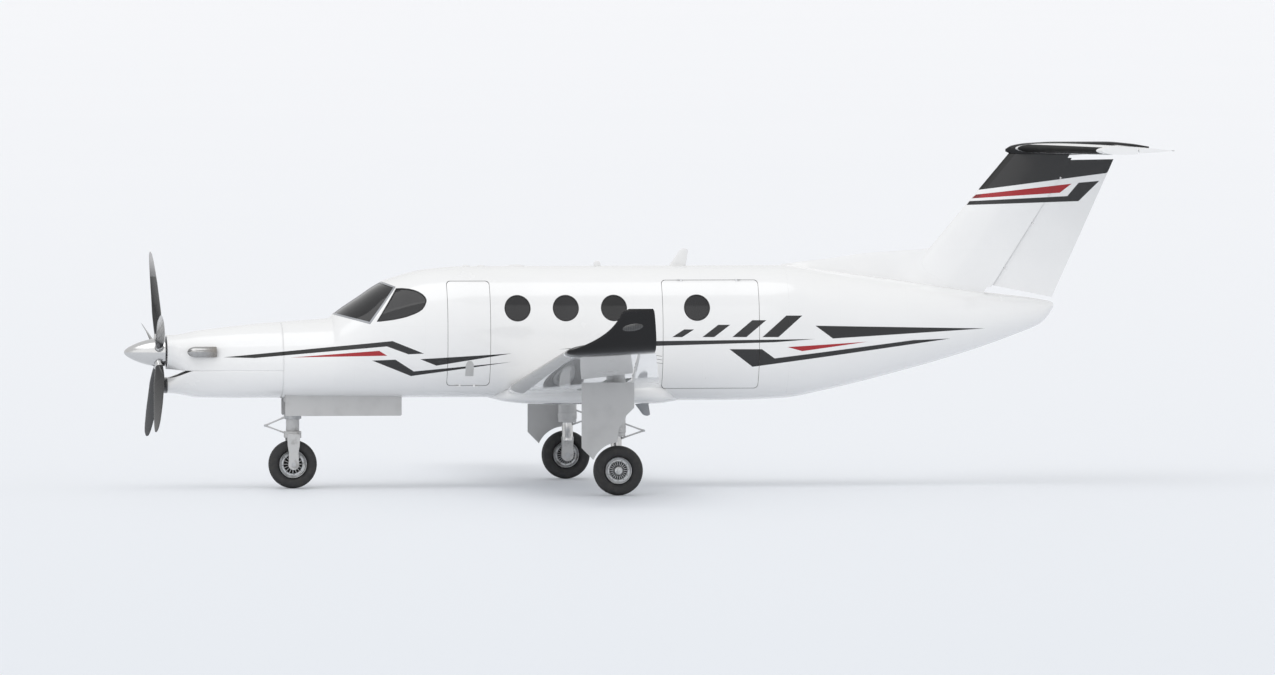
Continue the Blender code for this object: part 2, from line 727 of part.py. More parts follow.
BELLY_LOW = smooth(
    (5.230, 1.298), (5.450, 1.240), (5.800, 1.205), (6.200, 1.197), (7.600, 1.197), (7.850, 1.222),
    (8.060, 1.262),
)
BELLY_HIGH = smooth(
    (5.230, 1.310), (5.450, 1.450), (5.800, 1.560), (7.300, 1.570), (7.700, 1.500), (8.060, 1.290),
)
BELLY_HALF = smooth(
    (5.230, 0.120), (5.450, 0.700), (5.800, 0.940), (6.400, 0.995), (7.200, 0.960), (7.700, 0.700),
    (8.060, 0.120),
)


def belly_ring(station, grow):
    high, low = BELLY_HIGH(station) + grow, BELLY_LOW(station) - grow
    half, waist = BELLY_HALF(station) + grow, 0.55 * BELLY_LOW(station) + 0.45 * BELLY_HIGH(station)
    angles = [2 * math.pi * i / 20 for i in range(20)]
    return [(at(station), *oval(half, high, low, waist, 3.0, a)) for a in angles]


def belly_solid(name, grow, look=None):
    stations = (5.235, 5.330, 5.450, 5.620, 5.800, 6.200, 6.800, 7.300, 7.600, 7.850, 8.000, 8.055)
    return loft(name, [belly_ring(s, grow) for s in stations], look)


# Wing, tail and control surfaces


def aerofoil(x):
    """Half of a section's thickness at a fraction of its chord, for a thickness of 1."""
    return 5 * (0.2969 * math.sqrt(x) - 0.1260 * x - 0.3516 * x**2 + 0.2843 * x**3 - 0.1036 * x**4)


def camber_line(x, camber):
    return camber * (1 - ((x - 0.40) / (0.60 if x > 0.40 else 0.40)) ** 2)


def fixed_section(chord, thickness, camber, stop, count=8):
    """(aft, up) points from the spar's top round the leading edge to the spar's bottom."""
    fractions = [stop * (1 - math.cos(math.pi / 2 * i / count)) for i in range(count + 1)]
    upper = [(x, camber_line(x, camber) + thickness * aerofoil(x)) for x in fractions]
    lower = [(x, camber_line(x, camber) - thickness * aerofoil(x)) for x in fractions]
    return [(chord * x, chord * z) for x, z in upper[::-1] + lower[1:]]


def moving_section(chord, thickness, camber, nose, count=3):
    """(aft, up) points of a flap's section with a round nose, and the nose's centre and radius."""
    centre = nose + thickness * aerofoil(nose)
    radius = thickness * aerofoil(centre)
    middle = camber_line(centre, camber)
    fractions = [1 - (1 - centre) * i / count for i in range(count)]
    upper = [(x, camber_line(x, camber) + thickness * aerofoil(x)) for x in fractions]
    lower = [(x, camber_line(x, camber) - thickness * aerofoil(x)) for x in fractions]
    round_nose = [
        (centre - radius * math.sin(a), middle + radius * math.cos(a)) for a in np.linspace(0, math.pi, 6)
    ]
    points = upper + round_nose + lower[:0:-1]
    return [(chord * x, chord * z) for x, z in points], (chord * centre, chord * middle)


def wing_place(y):
    """Leading edge station, height and chord of the wing at a distance from the middle."""
    share = (y - WING_ROOT_Y) / (WING_TIP_Y - WING_ROOT_Y)
    lead = WING_ROOT_LE + share * (WING_TIP_LE - WING_ROOT_LE)
    height = WING_ROOT_Z + share * (WING_TIP_Z - WING_ROOT_Z)
    return lead, height, WING_ROOT_CHORD + share * (WING_TIP_CHORD - WING_ROOT_CHORD)


def wing_hinge(y, side):
    """The point of the flap and aileron hinge line at a distance from the middle."""
    lead, height, chord = wing_place(y)
    _, (aft, up) = moving_section(chord, WING_THICKNESS, WING_CAMBER, FLAP_NOSE)
    return Vector((at(lead) + aft, side * y, height + up))


def hinge_frame(start, end, forward):
    """A frame on a hinge: X along it, Y forwards and Z up, at its start."""
    along = (end - start).normalized()
    across = (forward - along * forward.dot(along)).normalized()
    turn = Matrix((along, across, along.cross(across))).transposed().to_4x4()
    return Matrix.Translation(start) @ turn


def hinge_tongues(fixed, moving, start, end, shares, forward, reach, slot):
    """Tongues of the fixed surface that carry a moving one, and the slots that they sit in."""
    frame = hinge_frame(start, end, forward)
    length = (end - start).length
    for i, share in enumerate(shares):
        middle = share * length
        low, high = (middle - 0.015, -0.012, -0.011), (middle + 0.015, reach, 0.011)
        fuse(fixed, box(f"tongue_{moving.name}_{i}", low, high, matrix=frame))
        low, high = (middle - 0.0157, -0.026, -slot), (middle + 0.0157, 0.30, slot)
        cut(moving, box(f"slot_{moving.name}_{i}", low, high, matrix=frame))


def panel_on_wing(name, side, inner, outer, look):
    """A flap or aileron between two distances from the middle, its ends square to its hinge."""
    start, end = wing_hinge(inner, side), wing_hinge(outer, side)
    axis = (end - start).normalized()
    rings = []
    for y, hinge in ((inner, start), (outer, end)):
        lead, height, chord = wing_place(y)
        points, _ = moving_section(chord, WING_THICKNESS, WING_CAMBER, FLAP_NOSE)
        ring = []
        for aft, up in points:
            x, z = at(lead) + aft, height + up
            slide = -(axis.x * (x - hinge.x) + axis.z * (z - hinge.z)) / axis.y
            ring.append((x, hinge.y + slide, z))
        rings.append(ring)
    return loft(name, rings, look), start, end


FLAP_SPAN = (1.060, 5.100)
AILERON_SPAN = (5.116, 7.690)
FORWARD = Vector((-1, 0, 0))
JACK_STATION, JACK_Y, JACK_Z = 5.950, 2.200, 1.500


def wings(belly_cutter, hull_cutter):
    for side, name in ((-1, "left"), (1, "right")):
        rings = []
        for y in (0.50, WINGLET_Y - GAP):
            lead, height, chord = wing_place(y)
            section = fixed_section(chord, WING_THICKNESS, WING_CAMBER, WING_SPAR)
            rings.append([(at(lead) + aft, side * y, height + up) for aft, up in section])
        wing = loft(f"wing_{name}", rings, WHITE)
        cut(wing, hull_cutter, belly_cutter, gear_well(side))
        pad = (at(JACK_STATION), side * JACK_Y)
        fuse(wing, rod(f"jack_pad_{name}", (*pad, JACK_Z), (*pad, JACK_Z + 0.060), 0.035))
        for kind, (inner, outer), shares in (
            ("flap", FLAP_SPAN, (0.10, 0.50, 0.90)),
            ("aileron", AILERON_SPAN, (0.12, 0.88)),
        ):
            panel, start, end = panel_on_wing(f"{kind}_{name}", side, inner, outer, WHITE)
            hinge_tongues(wing, panel, start, end, shares, FORWARD, 0.14, 0.2)
            put_origin(panel, start)
        winglet(side, name)


def gear_well(side):
    """The leg's slot and the wheel's round bay in the wing's underside."""
    front, back = at(MAIN_WHEEL - 0.19), at(MAIN_WHEEL + 0.19)
    pocket = box_at_side(f"leg_pocket_{side}", side, (front, 2.450, 1.20), (back, 3.230, 1.685))
    slot = box_at_side(f"leg_slot_{side}", side, (front, 1.650, 1.20), (back, 2.500, 1.600))
    centre = (at(6.695), side * 1.620)
    bay = rod(f"wheel_bay_{side}", (*centre, 1.200), (*centre, 1.585), 0.360, sides=20)
    return fuse(pocket, slot, bay)


def box_at_side(name, side, low, high, look=None):
    """A box given for the right side, mirrored where the side is left."""
    near, far = sorted((side * low[1], side * high[1]))
    return box(name, (low[0], near, low[2]), (high[0], far, high[2]), look)


def winglet(side, name):
    """The raised tip: the wing's section carried round the corner and swept back."""
    rings = []
    for y, z, lead, trail, lean, thick in (
        (WINGLET_Y, 2.1511, 5.4266, 6.6967, 0.0, 0.135),
        (7.930, 2.171, 5.432, 6.680, 9.0, 0.128),
        (8.020, 2.200, 5.500, 6.678, 28.0, 0.105),
        (8.095, 2.262, 5.640, 6.674, 52.0, 0.090),
        (8.145, 2.350, 5.810, 6.668, 68.0, 0.084),
        (8.185, 2.470, 5.980, 6.655, 76.0, 0.080),
        (8.222, 2.600, 6.095, 6.640, 80.0, 0.080),
        (8.246, 2.740, 6.180, 6.620, 82.0, 0.080),
        (8.252, 2.778, 6.260, 6.600, 82.0, 0.030),
    ):
        chord = trail - lead
        section = fixed_section(chord, thick, WING_CAMBER if thick > 0.1 else 0.0, 0.985, count=6)
        lean = math.radians(lean)
        ring = []
        for aft, up in section:
            ring.append((at(lead) + aft, side * (y - up * math.sin(lean)), z + up * math.cos(lean)))
        rings.append(ring)
    loft(f"winglet_{name}", rings, CHARCOAL)


def tail():
    cone = loft("cone_envelope", [hull_ring(s, GAP, points=20) for s in (9.0, CABIN_BACK, *CONE_STATIONS)])
    slope = (RUDDER_HEAD[0] - RUDDER_FOOT[0]) / (RUDDER_HEAD[1] - RUDDER_FOOT[1])

    def hinge_at(z):
        return RUDDER_FOOT[0] + slope * (z - RUDDER_FOOT[1])

    def lead_at(z):
        return 11.665 + 0.8457 * (z - 3.433)

    def trail_at(z):
        return 13.412 + 0.4537 * (z - 2.649)

    rings = []
    for z, thickness in ((2.450, 0.090), (4.900, 0.100)):
        chord = trail_at(z) - lead_at(z)
        stop = (hinge_at(z) - 0.070 - lead_at(z)) / chord
        section = fixed_section(chord, thickness, 0.0, stop)
        rings.append([(at(lead_at(z)) + aft, up, z) for aft, up in section])
    fin = loft("fin", rings, WHITE)
    dorsal = []
    for station, top, half in (
        (9.502, 3.196, 0.020), (9.800, 3.238, 0.045), (10.196, 3.279, 0.060), (10.697, 3.352, 0.070),
        (11.070, 3.379, 0.075), (11.641, 3.422, 0.085), (11.900, 3.650, 0.070),
    ):
        low = TOP(station) - 0.10
        ring = [(-1.6, low), (-1.0, TOP(station) + 0.01), (-0.35, top - 0.02), (0.0, top)]
        ring = ring + [(-y, z) for y, z in ring[-2::-1]]
        dorsal.append([(at(station), y * half, z) for y, z in ring])
    fuse(fin, loft("dorsal", dorsal))

    rudder_rings = []
    ends = []
    for z_hinge, z_trail, radius in ((2.885, 2.712, 0.0508), (4.690, 4.700, 0.0473)):
        hinge = Vector((at(hinge_at(z_hinge)), 0, z_hinge))
        trail = Vector((at(trail_at(z_trail)), 0, z_trail))
        aft = (trail - hinge).normalized()
        chord = (trail - hinge).length
        middle = hinge + aft * chord * 0.5
        ring = [
            hinge + aft * (-radius * math.sin(a)) + Vector((0, radius * math.cos(a), 0))
            for a in np.linspace(0, math.pi, 6)
        ]
        ring += [middle + Vector((0, -radius * 0.72, 0)), trail + Vector((0, -0.004, 0))]
        ring += [trail + Vector((0, 0.004, 0)), middle + Vector((0, radius * 0.72, 0))]
        rudder_rings.append(ring)
        ends.append(hinge)
    rudder = loft("rudder", rudder_rings, WHITE)
    hinge_tongues(fin, rudder, ends[0], ends[1], (0.14, 0.50, 0.86), FORWARD, 0.14, 0.2)
    put_origin(rudder, ends[0])

    rings = []
    for y in (-TAIL_HALF_SPAN, 0.0, TAIL_HALF_SPAN):
        share = abs(y) / TAIL_HALF_SPAN
        lead, trail = 12.870 + share * 0.895, 14.750 + share * 0.017
        chord = trail - lead
        stop = (ELEVATOR_AXIS - 0.066 + 0.014 * share - lead) / chord
        section = fixed_section(chord, 0.082 + 0.033 * share, 0.0, stop)
        rings.append([(at(lead) + aft, y, TAIL_Z + up) for aft, up in section])
    stabilizer = loft("stabilizer", rings, WHITE)
    axis_x = at(ELEVATOR_AXIS)
    for side, name in ((-1, "left"), (1, "right")):
        rings = []
        for y, radius in ((0.140, 0.051), (TAIL_HALF_SPAN - 0.005, 0.036)):
            end = at(14.750 + 0.017 * y / TAIL_HALF_SPAN)
            angles = np.linspace(0, math.pi, 6)
            profile = [(axis_x - radius * math.sin(a), radius * math.cos(a)) for a in angles]
            profile += [(axis_x + 0.20, -radius * 0.70), (end, -0.004)]
            profile += [(end, 0.004), (axis_x + 0.20, radius * 0.70)]
            rings.append([(x, side * y, TAIL_Z + up) for x, up in profile])
        elevator = loft(f"elevator_{name}", rings, WHITE)
        start, end = Vector((axis_x, side * 0.140, TAIL_Z)), Vector((axis_x, side * 2.595, TAIL_Z))
        hinge_tongues(stabilizer, elevator, start, end, (0.10, 0.50, 0.90), FORWARD, 0.12, 0.2)
        put_origin(elevator, start)

    def bullet_rings(grow):
        rings = []
        for s, w, high, low in (
            (12.760 - grow, 0.020, 4.850, 4.815),
            (12.850, 0.068, 4.900, 4.775),
            (13.050, 0.105, 4.935, 4.757),
            (13.500, 0.125, 4.957, 4.757),
            (14.200, 0.115, 4.957, 4.780),
            (14.600, 0.075, 4.925, 4.812),
            (LENGTH, 0.018, 4.882, 4.852),
        ):
            waist = (high + low) / 2
            angles = [2 * math.pi * i / 16 for i in range(16)]
            rings.append([(at(s), *oval(w + grow, high + grow, low - grow, waist, 2.3, a)) for a in angles])
        return rings

    bullet = loft("tail_bullet", bullet_rings(0.0), CHARCOAL)
    rings = []
    for y in (-0.30, 0.0, 0.30):
        share = abs(y) / TAIL_HALF_SPAN
        lead, trail = 12.870 + share * 0.895, 14.750 + share * 0.017
        chord = trail - lead
        stop = (ELEVATOR_AXIS - 0.066 + 0.014 * share - lead) / chord
        section = fixed_section(chord + 0.001, 0.082 + 0.033 * share + 0.0006, 0.0, stop + 0.0006)
        rings.append([(at(lead) - 0.0006 + aft, y, TAIL_Z + up) for aft, up in section])
    cut(bullet, loft("stabilizer_slot", rings))
    cut(fin, cone, loft("bullet_envelope", bullet_rings(GAP)))


# Landing gear


def tyre_profile(radius, rim, width):
    """The closed outline of a tyre's section, down the outer side first."""
    half = width / 2
    return [
        (radius, 0.30 * half), (radius, -0.30 * half), (radius - 0.022, -0.72 * half),
        (radius - 0.060, -0.97 * half), (rim + 0.030, -0.92 * half), (rim, -0.66 * half),
        (rim, 0.66 * half), (rim + 0.030, 0.92 * half), (radius - 0.060, 0.97 * half),
        (radius - 0.022, 0.72 * half),
    ]


def wheel_profile(rim, width, boss, reach):
    """A wheel's disc with a rim flange at each side and an axle that reaches out to its ends."""
    half = 0.66 * width / 2
    return [
        (0.0, reach), (boss * 0.5, reach), (boss * 0.5, half + 0.008), (boss, half), (boss * 1.1, 0.018),
        (rim * 0.86, 0.022), (rim * 0.90, half - 0.004), (rim - GAP, half - 0.004),
        (rim - GAP, -half + 0.004), (rim * 0.90, -half + 0.004), (rim * 0.86, -0.022),
        (boss * 1.1, -0.018), (boss, -half), (boss * 0.5, -half - 0.008), (boss * 0.5, -reach), (0.0, -reach),
    ]


def torque_link(name, points, width, y):
    """Two flat arms that meet at a pin, seen from the side as a bent strip."""
    pieces = []
    for i, (start, end) in enumerate(zip(points, points[1:])):
        start, end = Vector((at(start[0]), y, start[1])), Vector((at(end[0]), y, end[1]))
        high = (width / 2, 0.014, (end - start).length + 0.01)
        pieces.append(box(f"{name}_{i}", (-width / 2, -0.014, -0.01), high, matrix=strut(start, end)))
    return pieces


def strut(start, end):
    """A frame whose Z runs from start to end, with X level across the plane."""
    along = (Vector(end) - Vector(start)).normalized()
    across = Vector((0, 1, 0))
    return Matrix.Translation(start) @ Matrix((across, along.cross(across), along)).transposed().to_4x4()


def nose_gear():
    x = at(NOSE_WHEEL)
    leg_foot = 0.823
    leg = rod("nose_leg", (x, 0, leg_foot), (x, 0, 1.300), 0.105, GEAR, sides=20)
    fuse(leg, rod("nose_leg_top", (x, 0, 1.240), (x, 0, BAY[3] - GAP), 0.128, sides=20))
    crown = rod("nose_fork", (x, 0, 0.722), (x, 0, leg_foot - 0.0006), 0.126, GEAR, sides=20)
    fuse(crown, box("crown_bar", (x - 0.090, -0.178, 0.726), (x + 0.090, 0.178, 0.790)))
    for side in (-1, 1):
        arm = [(-0.095, 0.770), (0.095, 0.770), (0.088, 0.556), (0.080, NOSE_TYRE)]
        for a in np.linspace(-0.5, -math.pi + 0.5, 5):
            arm.append((0.080 * math.cos(a), NOSE_TYRE + 0.080 * math.sin(a)))
        arm += [(-0.080, NOSE_TYRE), (-0.088, 0.556)]
        outline = [(x + u, v) for u, v in arm]
        fuse(crown, plate(f"fork_arm_{side}", outline, 0.034, (0, side * 0.160, 0), SIDE_VIEW))
    collar = rod("collar", (x, 0, 1.000), (x, 0, 1.060), 0.126, sides=20)
    cut(collar, rod("collar_bore", (x, 0, 0.95), (x, 0, 1.10), 0.1065, sides=20))
    links = torque_link("nose_link", ((2.330, 1.030), (2.030, 0.902), (2.330, 0.790)), 0.10, 0.0)
    fuse(crown, collar)
    fuse(crown, *links)
    bore = rod("fork_bore", (x, 0, leg_foot - 0.0006), (x, 0, 1.30), 0.1065, sides=20)
    cut(crown, bore)
    centre = (x, 0, NOSE_TYRE)
    put_origin(crown, centre)
    rim_profile = wheel_profile(0.200, 0.230, 0.060, 0.1424)
    put_origin(turned("nose_wheel", rim_profile, centre, (0, 1, 0), STEEL, WHEEL_SIDES), centre)
    profile = tyre_profile(NOSE_TYRE, 0.200, 0.230)
    put_origin(turned("nose_tyre", profile, centre, (0, 1, 0), RUBBER, WHEEL_SIDES, True), centre)
    start, stop, half, _ = BAY
    for side, name in ((-1, "left"), (1, "right")):
        inner, outer = sorted((side * (half - 0.0006), side * (half - 0.019)))
        low, high = (at(start + 0.002), inner, 1.046), (at(stop - 0.002), outer, 1.400)
        box(f"nose_gear_door_{name}", low, high, GEAR)


def main_gear():
    x = at(MAIN_WHEEL)
    for side, name in ((-1, "left"), (1, "right")):
        y = side * LEG_Y
        leg = rod(f"main_leg_{name}", (x, y, 0.830), (x, y, 1.685 - GAP), 0.140, GEAR, sides=20)
        arm = rod(f"piston_{name}", (x, y, 0.560), (x, y, 0.850), 0.085, sides=20)
        foot = [(-0.092, 0.620), (0.092, 0.620), (0.088, MAIN_TYRE)]
        for a in np.linspace(-0.5, -math.pi + 0.5, 5):
            foot.append((0.088 * math.cos(a), MAIN_TYRE + 0.088 * math.sin(a)))
        foot += [(-0.088, MAIN_TYRE)]
        outline = [(x + u, v) for u, v in foot]
        fuse(leg, arm, plate(f"foot_{name}", outline, 0.100, (0, y, 0), SIDE_VIEW))
        links = ((6.860, 1.010), (7.139, 0.908), (6.820, 0.800))
        fuse(leg, *torque_link(f"main_link_{name}", links, 0.09, y))
        bracket = (side * 3.000, side * 3.2696)
        fuse(leg, box(f"bracket_{name}", (x - 0.10, min(bracket), 0.900), (x + 0.04, max(bracket), 0.960)))
        centre = (x, side * MAIN_Y, MAIN_TYRE)
        rim_profile = wheel_profile(0.190, 0.230, 0.062, MAIN_Y - LEG_Y - 0.0506)
        put_origin(turned(f"main_wheel_{name}", rim_profile, centre, (0, 1, 0), STEEL, WHEEL_SIDES), centre)
        profile = tyre_profile(MAIN_TYRE, 0.190, 0.230)
        tyre = turned(f"main_tyre_{name}", profile, centre, (0, 1, 0), RUBBER, WHEEL_SIDES, True)
        put_origin(tyre, centre)
        outline = [(6.205, 1.605), (6.955, 1.605), (6.955, 1.248), (6.843, 1.138), (6.733, 0.939)]
        for a in np.linspace(1.64, 2.74, 6):
            outline.append((MAIN_WHEEL + 0.405 * math.cos(a), MAIN_TYRE + 0.405 * math.sin(a)))
        outline = [(at(s), z) for s, z in [*outline, (6.205, 0.680)]]
        plate(f"main_gear_door_{name}", outline, 0.022, (0, side * 3.281, 0), SIDE_VIEW, WHITE)


def blade_antenna(name, ends):
    """A swept blade of diamond section between two (height, lead, trail, half) sections."""
    rings = []
    for height, lead, trail, half in ends:
        middle = (lead + trail) / 2
        corners = ((lead, 0), (middle, half), (trail, 0), (middle, -half))
        rings.append([(at(station), y, height) for station, y in corners])
    loft(name, rings, WHITE)


def antennas():
    top = TOP(8.05)
    blade_antenna("roof_antenna", ((top + GAP, 7.870, 8.110, 0.010), (top + 0.250, 8.040, 8.150, 0.005)))
    blade_antenna("belly_antenna", ((1.1965, 7.370, 7.570, 0.010), (1.020, 7.500, 7.600, 0.006)))


def build():
    cowl("cowl_upper", False)
    cowl("cowl_lower", True)
    engine()
    intake()
    exhausts()
    propeller()
    cabin()
    glazing()
    doors()
    furnishing()
    tail_cone()
    hull_cutter = hull_solid("hull_cutter", GAP)
    belly = belly_solid("belly_fairing", 0.0, WHITE)
    cut(belly, hull_cutter)
    wings(belly_solid("belly_cutter", 0.0015), hull_cutter)
    tail()
    nose_gear()
    main_gear()
    antennas()


build()
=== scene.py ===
"""Looks of a single-engine turboprop plane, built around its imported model.

X runs aft, Y to the right wing, Z up, in metres; a station is a distance aft of the spinner's tip.
"""

import math

import bmesh
import bpy
import numpy as np
from mathutils import Matrix, Vector


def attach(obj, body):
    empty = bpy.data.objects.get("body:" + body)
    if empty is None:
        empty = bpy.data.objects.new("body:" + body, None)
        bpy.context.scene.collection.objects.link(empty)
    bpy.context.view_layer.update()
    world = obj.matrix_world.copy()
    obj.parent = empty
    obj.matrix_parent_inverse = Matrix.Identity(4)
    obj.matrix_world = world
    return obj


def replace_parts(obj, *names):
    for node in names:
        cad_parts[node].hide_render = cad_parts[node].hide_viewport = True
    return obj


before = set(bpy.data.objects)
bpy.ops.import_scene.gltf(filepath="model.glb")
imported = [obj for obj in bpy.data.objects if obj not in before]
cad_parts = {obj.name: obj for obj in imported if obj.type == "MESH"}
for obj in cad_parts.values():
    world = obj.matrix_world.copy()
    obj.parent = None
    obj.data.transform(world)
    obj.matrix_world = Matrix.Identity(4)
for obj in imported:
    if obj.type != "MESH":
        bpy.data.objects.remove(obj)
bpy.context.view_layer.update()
NOSE = -7.43


# Hall, light and camera.
# A pale plain floor without an edge in view, an overcast white sky over it, and one large soft lamp
# high on the left. The camera stands far off with a long lens, a little ahead of the wing.
def grid_mesh(name, points, around=True, ends=True, lengthwise=False):
    """A mesh whose faces join each grid point to its neighbours in its row and in the next row."""
    rows, columns = points.shape[:2]
    index = np.arange(rows * columns).reshape(rows, columns)
    closed = np.column_stack([index, index[:, :1]]) if around else index
    if lengthwise:
        closed = np.vstack([closed, closed[:1]])
    corners = (closed[:-1, :-1], closed[:-1, 1:], closed[1:, 1:], closed[1:, :-1])
    faces = np.stack(corners, axis=-1).reshape(-1, 4).tolist()
    if ends and around and not lengthwise:
        faces += [index[0, ::-1].tolist(), index[-1].tolist()]
    mesh = bpy.data.meshes.new(name)
    mesh.from_pydata(points.reshape(-1, 3), [], faces)
    return mesh


def piece_of(mesh, name, paint=None, angle=35, outward=True):
    """Puts a mesh in the scene: doubles merged, faces turned outwards, smooth up to the angle."""
    if outward:
        made = bmesh.new()
        made.from_mesh(mesh)
        bmesh.ops.remove_doubles(made, verts=made.verts, dist=2e-6)
        bmesh.ops.dissolve_degenerate(made, edges=made.edges, dist=1e-7)
        bmesh.ops.recalc_face_normals(made, faces=made.faces)
        made.to_mesh(mesh)
        made.free()
    mesh.shade_smooth()
    mesh.set_sharp_from_angle(angle=math.radians(angle))
    item = bpy.data.objects.new(name, mesh)
    bpy.context.scene.collection.objects.link(item)
    if paint:
        mesh.materials.append(paint)
    return item


turn = np.linspace(0, 2 * math.pi, 180, endpoint=False)
reach = np.array([0.0, 12.0, 60.0, 200.0, 800.0, 6000.0])[:, None]
disc = np.stack([reach * np.cos(turn), reach * np.sin(turn), 0 * reach * turn], axis=-1)
floor = piece_of(grid_mesh("floor", disc, ends=False), "floor", outward=False)


class Wire:
    """A shader socket on which + - * / > < and abs add Math nodes."""

    def __init__(self, paint, socket):
        self.paint, self.socket = paint, socket

    def math(self, operation, *values):
        return self.paint.node("ShaderNodeMath", {"operation": operation}, *values)

    def __add__(self, other):
        return self.math("ADD", self, other)

    def __sub__(self, other):
        return self.math("SUBTRACT", self, other)

    def __rsub__(self, other):
        return self.math("SUBTRACT", other, self)

    def __mul__(self, other):
        return self.math("MULTIPLY", self, other)

    def __truediv__(self, other):
        return self.math("DIVIDE", self, other)

    def __gt__(self, other):
        return self.math("GREATER_THAN", self, other)

    def __lt__(self, other):
        return self.math("LESS_THAN", self, other)

    def __or__(self, other):
        return self.math("MAXIMUM", self, other)

    def __abs__(self):
        return self.math("ABSOLUTE", self)

    __radd__, __rmul__, __ror__ = __add__, __mul__, __or__


class Paint:
    """A material around one Principled shader, whose nodes all come from node()."""

    def __init__(self, name, roughness=0.5, metallic=0.0, coat=0.0, coat_roughness=0.03):
        self.material = bpy.data.materials.new(name)
        self.material.use_nodes = True
        self.tree = self.material.node_tree
        self.shader = self.tree.nodes["Principled BSDF"]
        self.put(Roughness=roughness, Metallic=metallic, Coat_Weight=coat, Coat_Roughness=coat_roughness)
        place = self.tree.nodes.new("ShaderNodeTexCoord").outputs["Object"]
        self.place = Wire(self, place)
        split = self.tree.nodes.new("ShaderNodeSeparateXYZ")
        self.tree.links.new(place, split.inputs[0])
        self.x, self.y, self.z = (Wire(self, out) for out in split.outputs)

    def put(self, **values):
        for name, value in values.items():
            self.feed(self.shader.inputs[name.replace("_", " ")], value)

    def feed(self, socket, value):
        if isinstance(value, Wire):
            self.tree.links.new(value.socket, socket)
        else:
            is_colour = isinstance(value, tuple) and len(value) == 3 and socket.type == "RGBA"
            socket.default_value = (*value, 1.0) if is_colour else value

    def node(self, kind, settings, *values, out=0, **named):
        """Any node: its settings go first, then the values or links of its sockets."""
        node = self.tree.nodes.new(kind)
        for name, value in settings.items():
            setattr(node, name, value)
        for socket, value in zip(node.inputs, values):
            if value is not None:
                self.feed(socket, value)
        for name, value in named.items():
            self.feed(node.inputs[name.replace("_", " ")], value)
        return Wire(self, node.outputs[out])

    def noise(self, scale, detail=3.0, stretch=(1.0, 1.0, 1.0)):
        """Fractal noise around 0.5 on Object coordinates, its cells per metre set by scale."""
        place = self.node("ShaderNodeMapping", {}, self.place, Scale=stretch)
        return self.node("ShaderNodeTexNoise", {}, Vector=place, Scale=scale, Detail=detail)

    def mix(self, share, one, two):
        """A colour that goes from one to two by share."""
        made = self.tree.nodes.new("ShaderNodeMix")
        made.data_type = "RGBA"
        for socket, value in zip((made.inputs[0], made.inputs[6], made.inputs[7]), (share, one, two)):
            self.feed(socket, value)
        return Wire(self, made.outputs[2])

    def soft(self, value, low, high):
        """0 below low, 1 above high, and smooth between them."""
        kind = {"interpolation_type": "SMOOTHSTEP"}
        return self.node("ShaderNodeMapRange", kind, value, low, high)

    def bump(self, height, strength, distance=0.001):
        self.put(Normal=self.node("ShaderNodeBump", {}, Strength=strength, Distance=distance, Height=height))

    def inside(self, *corners):
        """1 inside a convex outline of (station, height) corners, seen from the side."""
        points = np.array(corners) + (NOSE, 0)
        middle = points.mean(axis=0)
        mask = None
        for one, two in zip(points, np.roll(points, -1, axis=0)):
            away = np.array([two[1] - one[1], one[0] - two[0]])
            away *= np.sign(away @ (middle - one))
            side = (self.x * float(away[0]) + self.z * float(away[1])) > float(away @ one)
            mask = side if mask is None else mask * side
        return mask

    def grime(self, clean, dirty, scale=3.0, share=0.5):
        """The clean colour, with clouds of the dirty one and finer specks in them."""
        clouds = self.soft(self.noise(scale, 6.0) * 0.7 + self.noise(scale * 14) * 0.3, 0.45, 0.75)
        return self.mix(clouds * share, clean, dirty)


concrete = Paint("hall_floor", roughness=0.6)
# Painted shade: the floor goes from pale grey far off to a darker, bluer grey near the camera, with faint random tone
# on top.
far = (concrete.x * 0.1244 + concrete.y * 0.9918) / 200.0 + 1.0
near = concrete.node("ShaderNodeMath", {"operation": "DIVIDE"}, 0.745, far | 0.5)
near = near + concrete.soft(concrete.noise(0.02, 2.0), 0.3, 0.7) * 0.03
concrete.put(Base_Color=concrete.mix(near, (0.895, 0.897, 0.918), (0.765, 0.795, 0.840)))
floor.data.materials.append(concrete.material)

world = bpy.data.worlds.new("overcast_sky")
bpy.context.scene.world = world
world.use_nodes = True
sky = world.node_tree.nodes["Background"]
sky.inputs["Color"].default_value = (0.99, 0.995, 1.0, 1.0)
sky.inputs["Strength"].default_value = 0.84
bpy.context.scene.view_settings.view_transform = "Standard"

for name, energy, spread, aim in (
    ("high_sun", 0.70, 50.0, (0.20, 0.45, -1.0)),
    ("side_fill", 0.35, 60.0, (0.35, 1.0, -0.25)),
):
    lamp = bpy.data.lights.new(name, "SUN")
    lamp.energy = energy
    lamp.angle = math.radians(spread)
    holder = bpy.data.objects.new(name, lamp)
    holder.rotation_euler = Vector(aim).to_track_quat("-Z", "Y").to_euler()
    bpy.context.scene.collection.objects.link(holder)

lens = bpy.data.cameras.new("long_lens")
lens.sensor_width = 36.0
lens.lens = 36.0 * 200.0 / 18.345
lens.clip_start, lens.clip_end = 10.0, 9000.0
camera = bpy.data.objects.new("long_lens", lens)
back = Vector((-0.1244, -0.9918, 0.0283)).normalized()
camera.location = Vector((-0.017, 0.0, 2.147)) + 200.0 * back
camera.rotation_euler = back.to_track_quat("Z", "Y").to_euler()
bpy.context.scene.collection.objects.link(camera)
bpy.context.scene.camera = camera


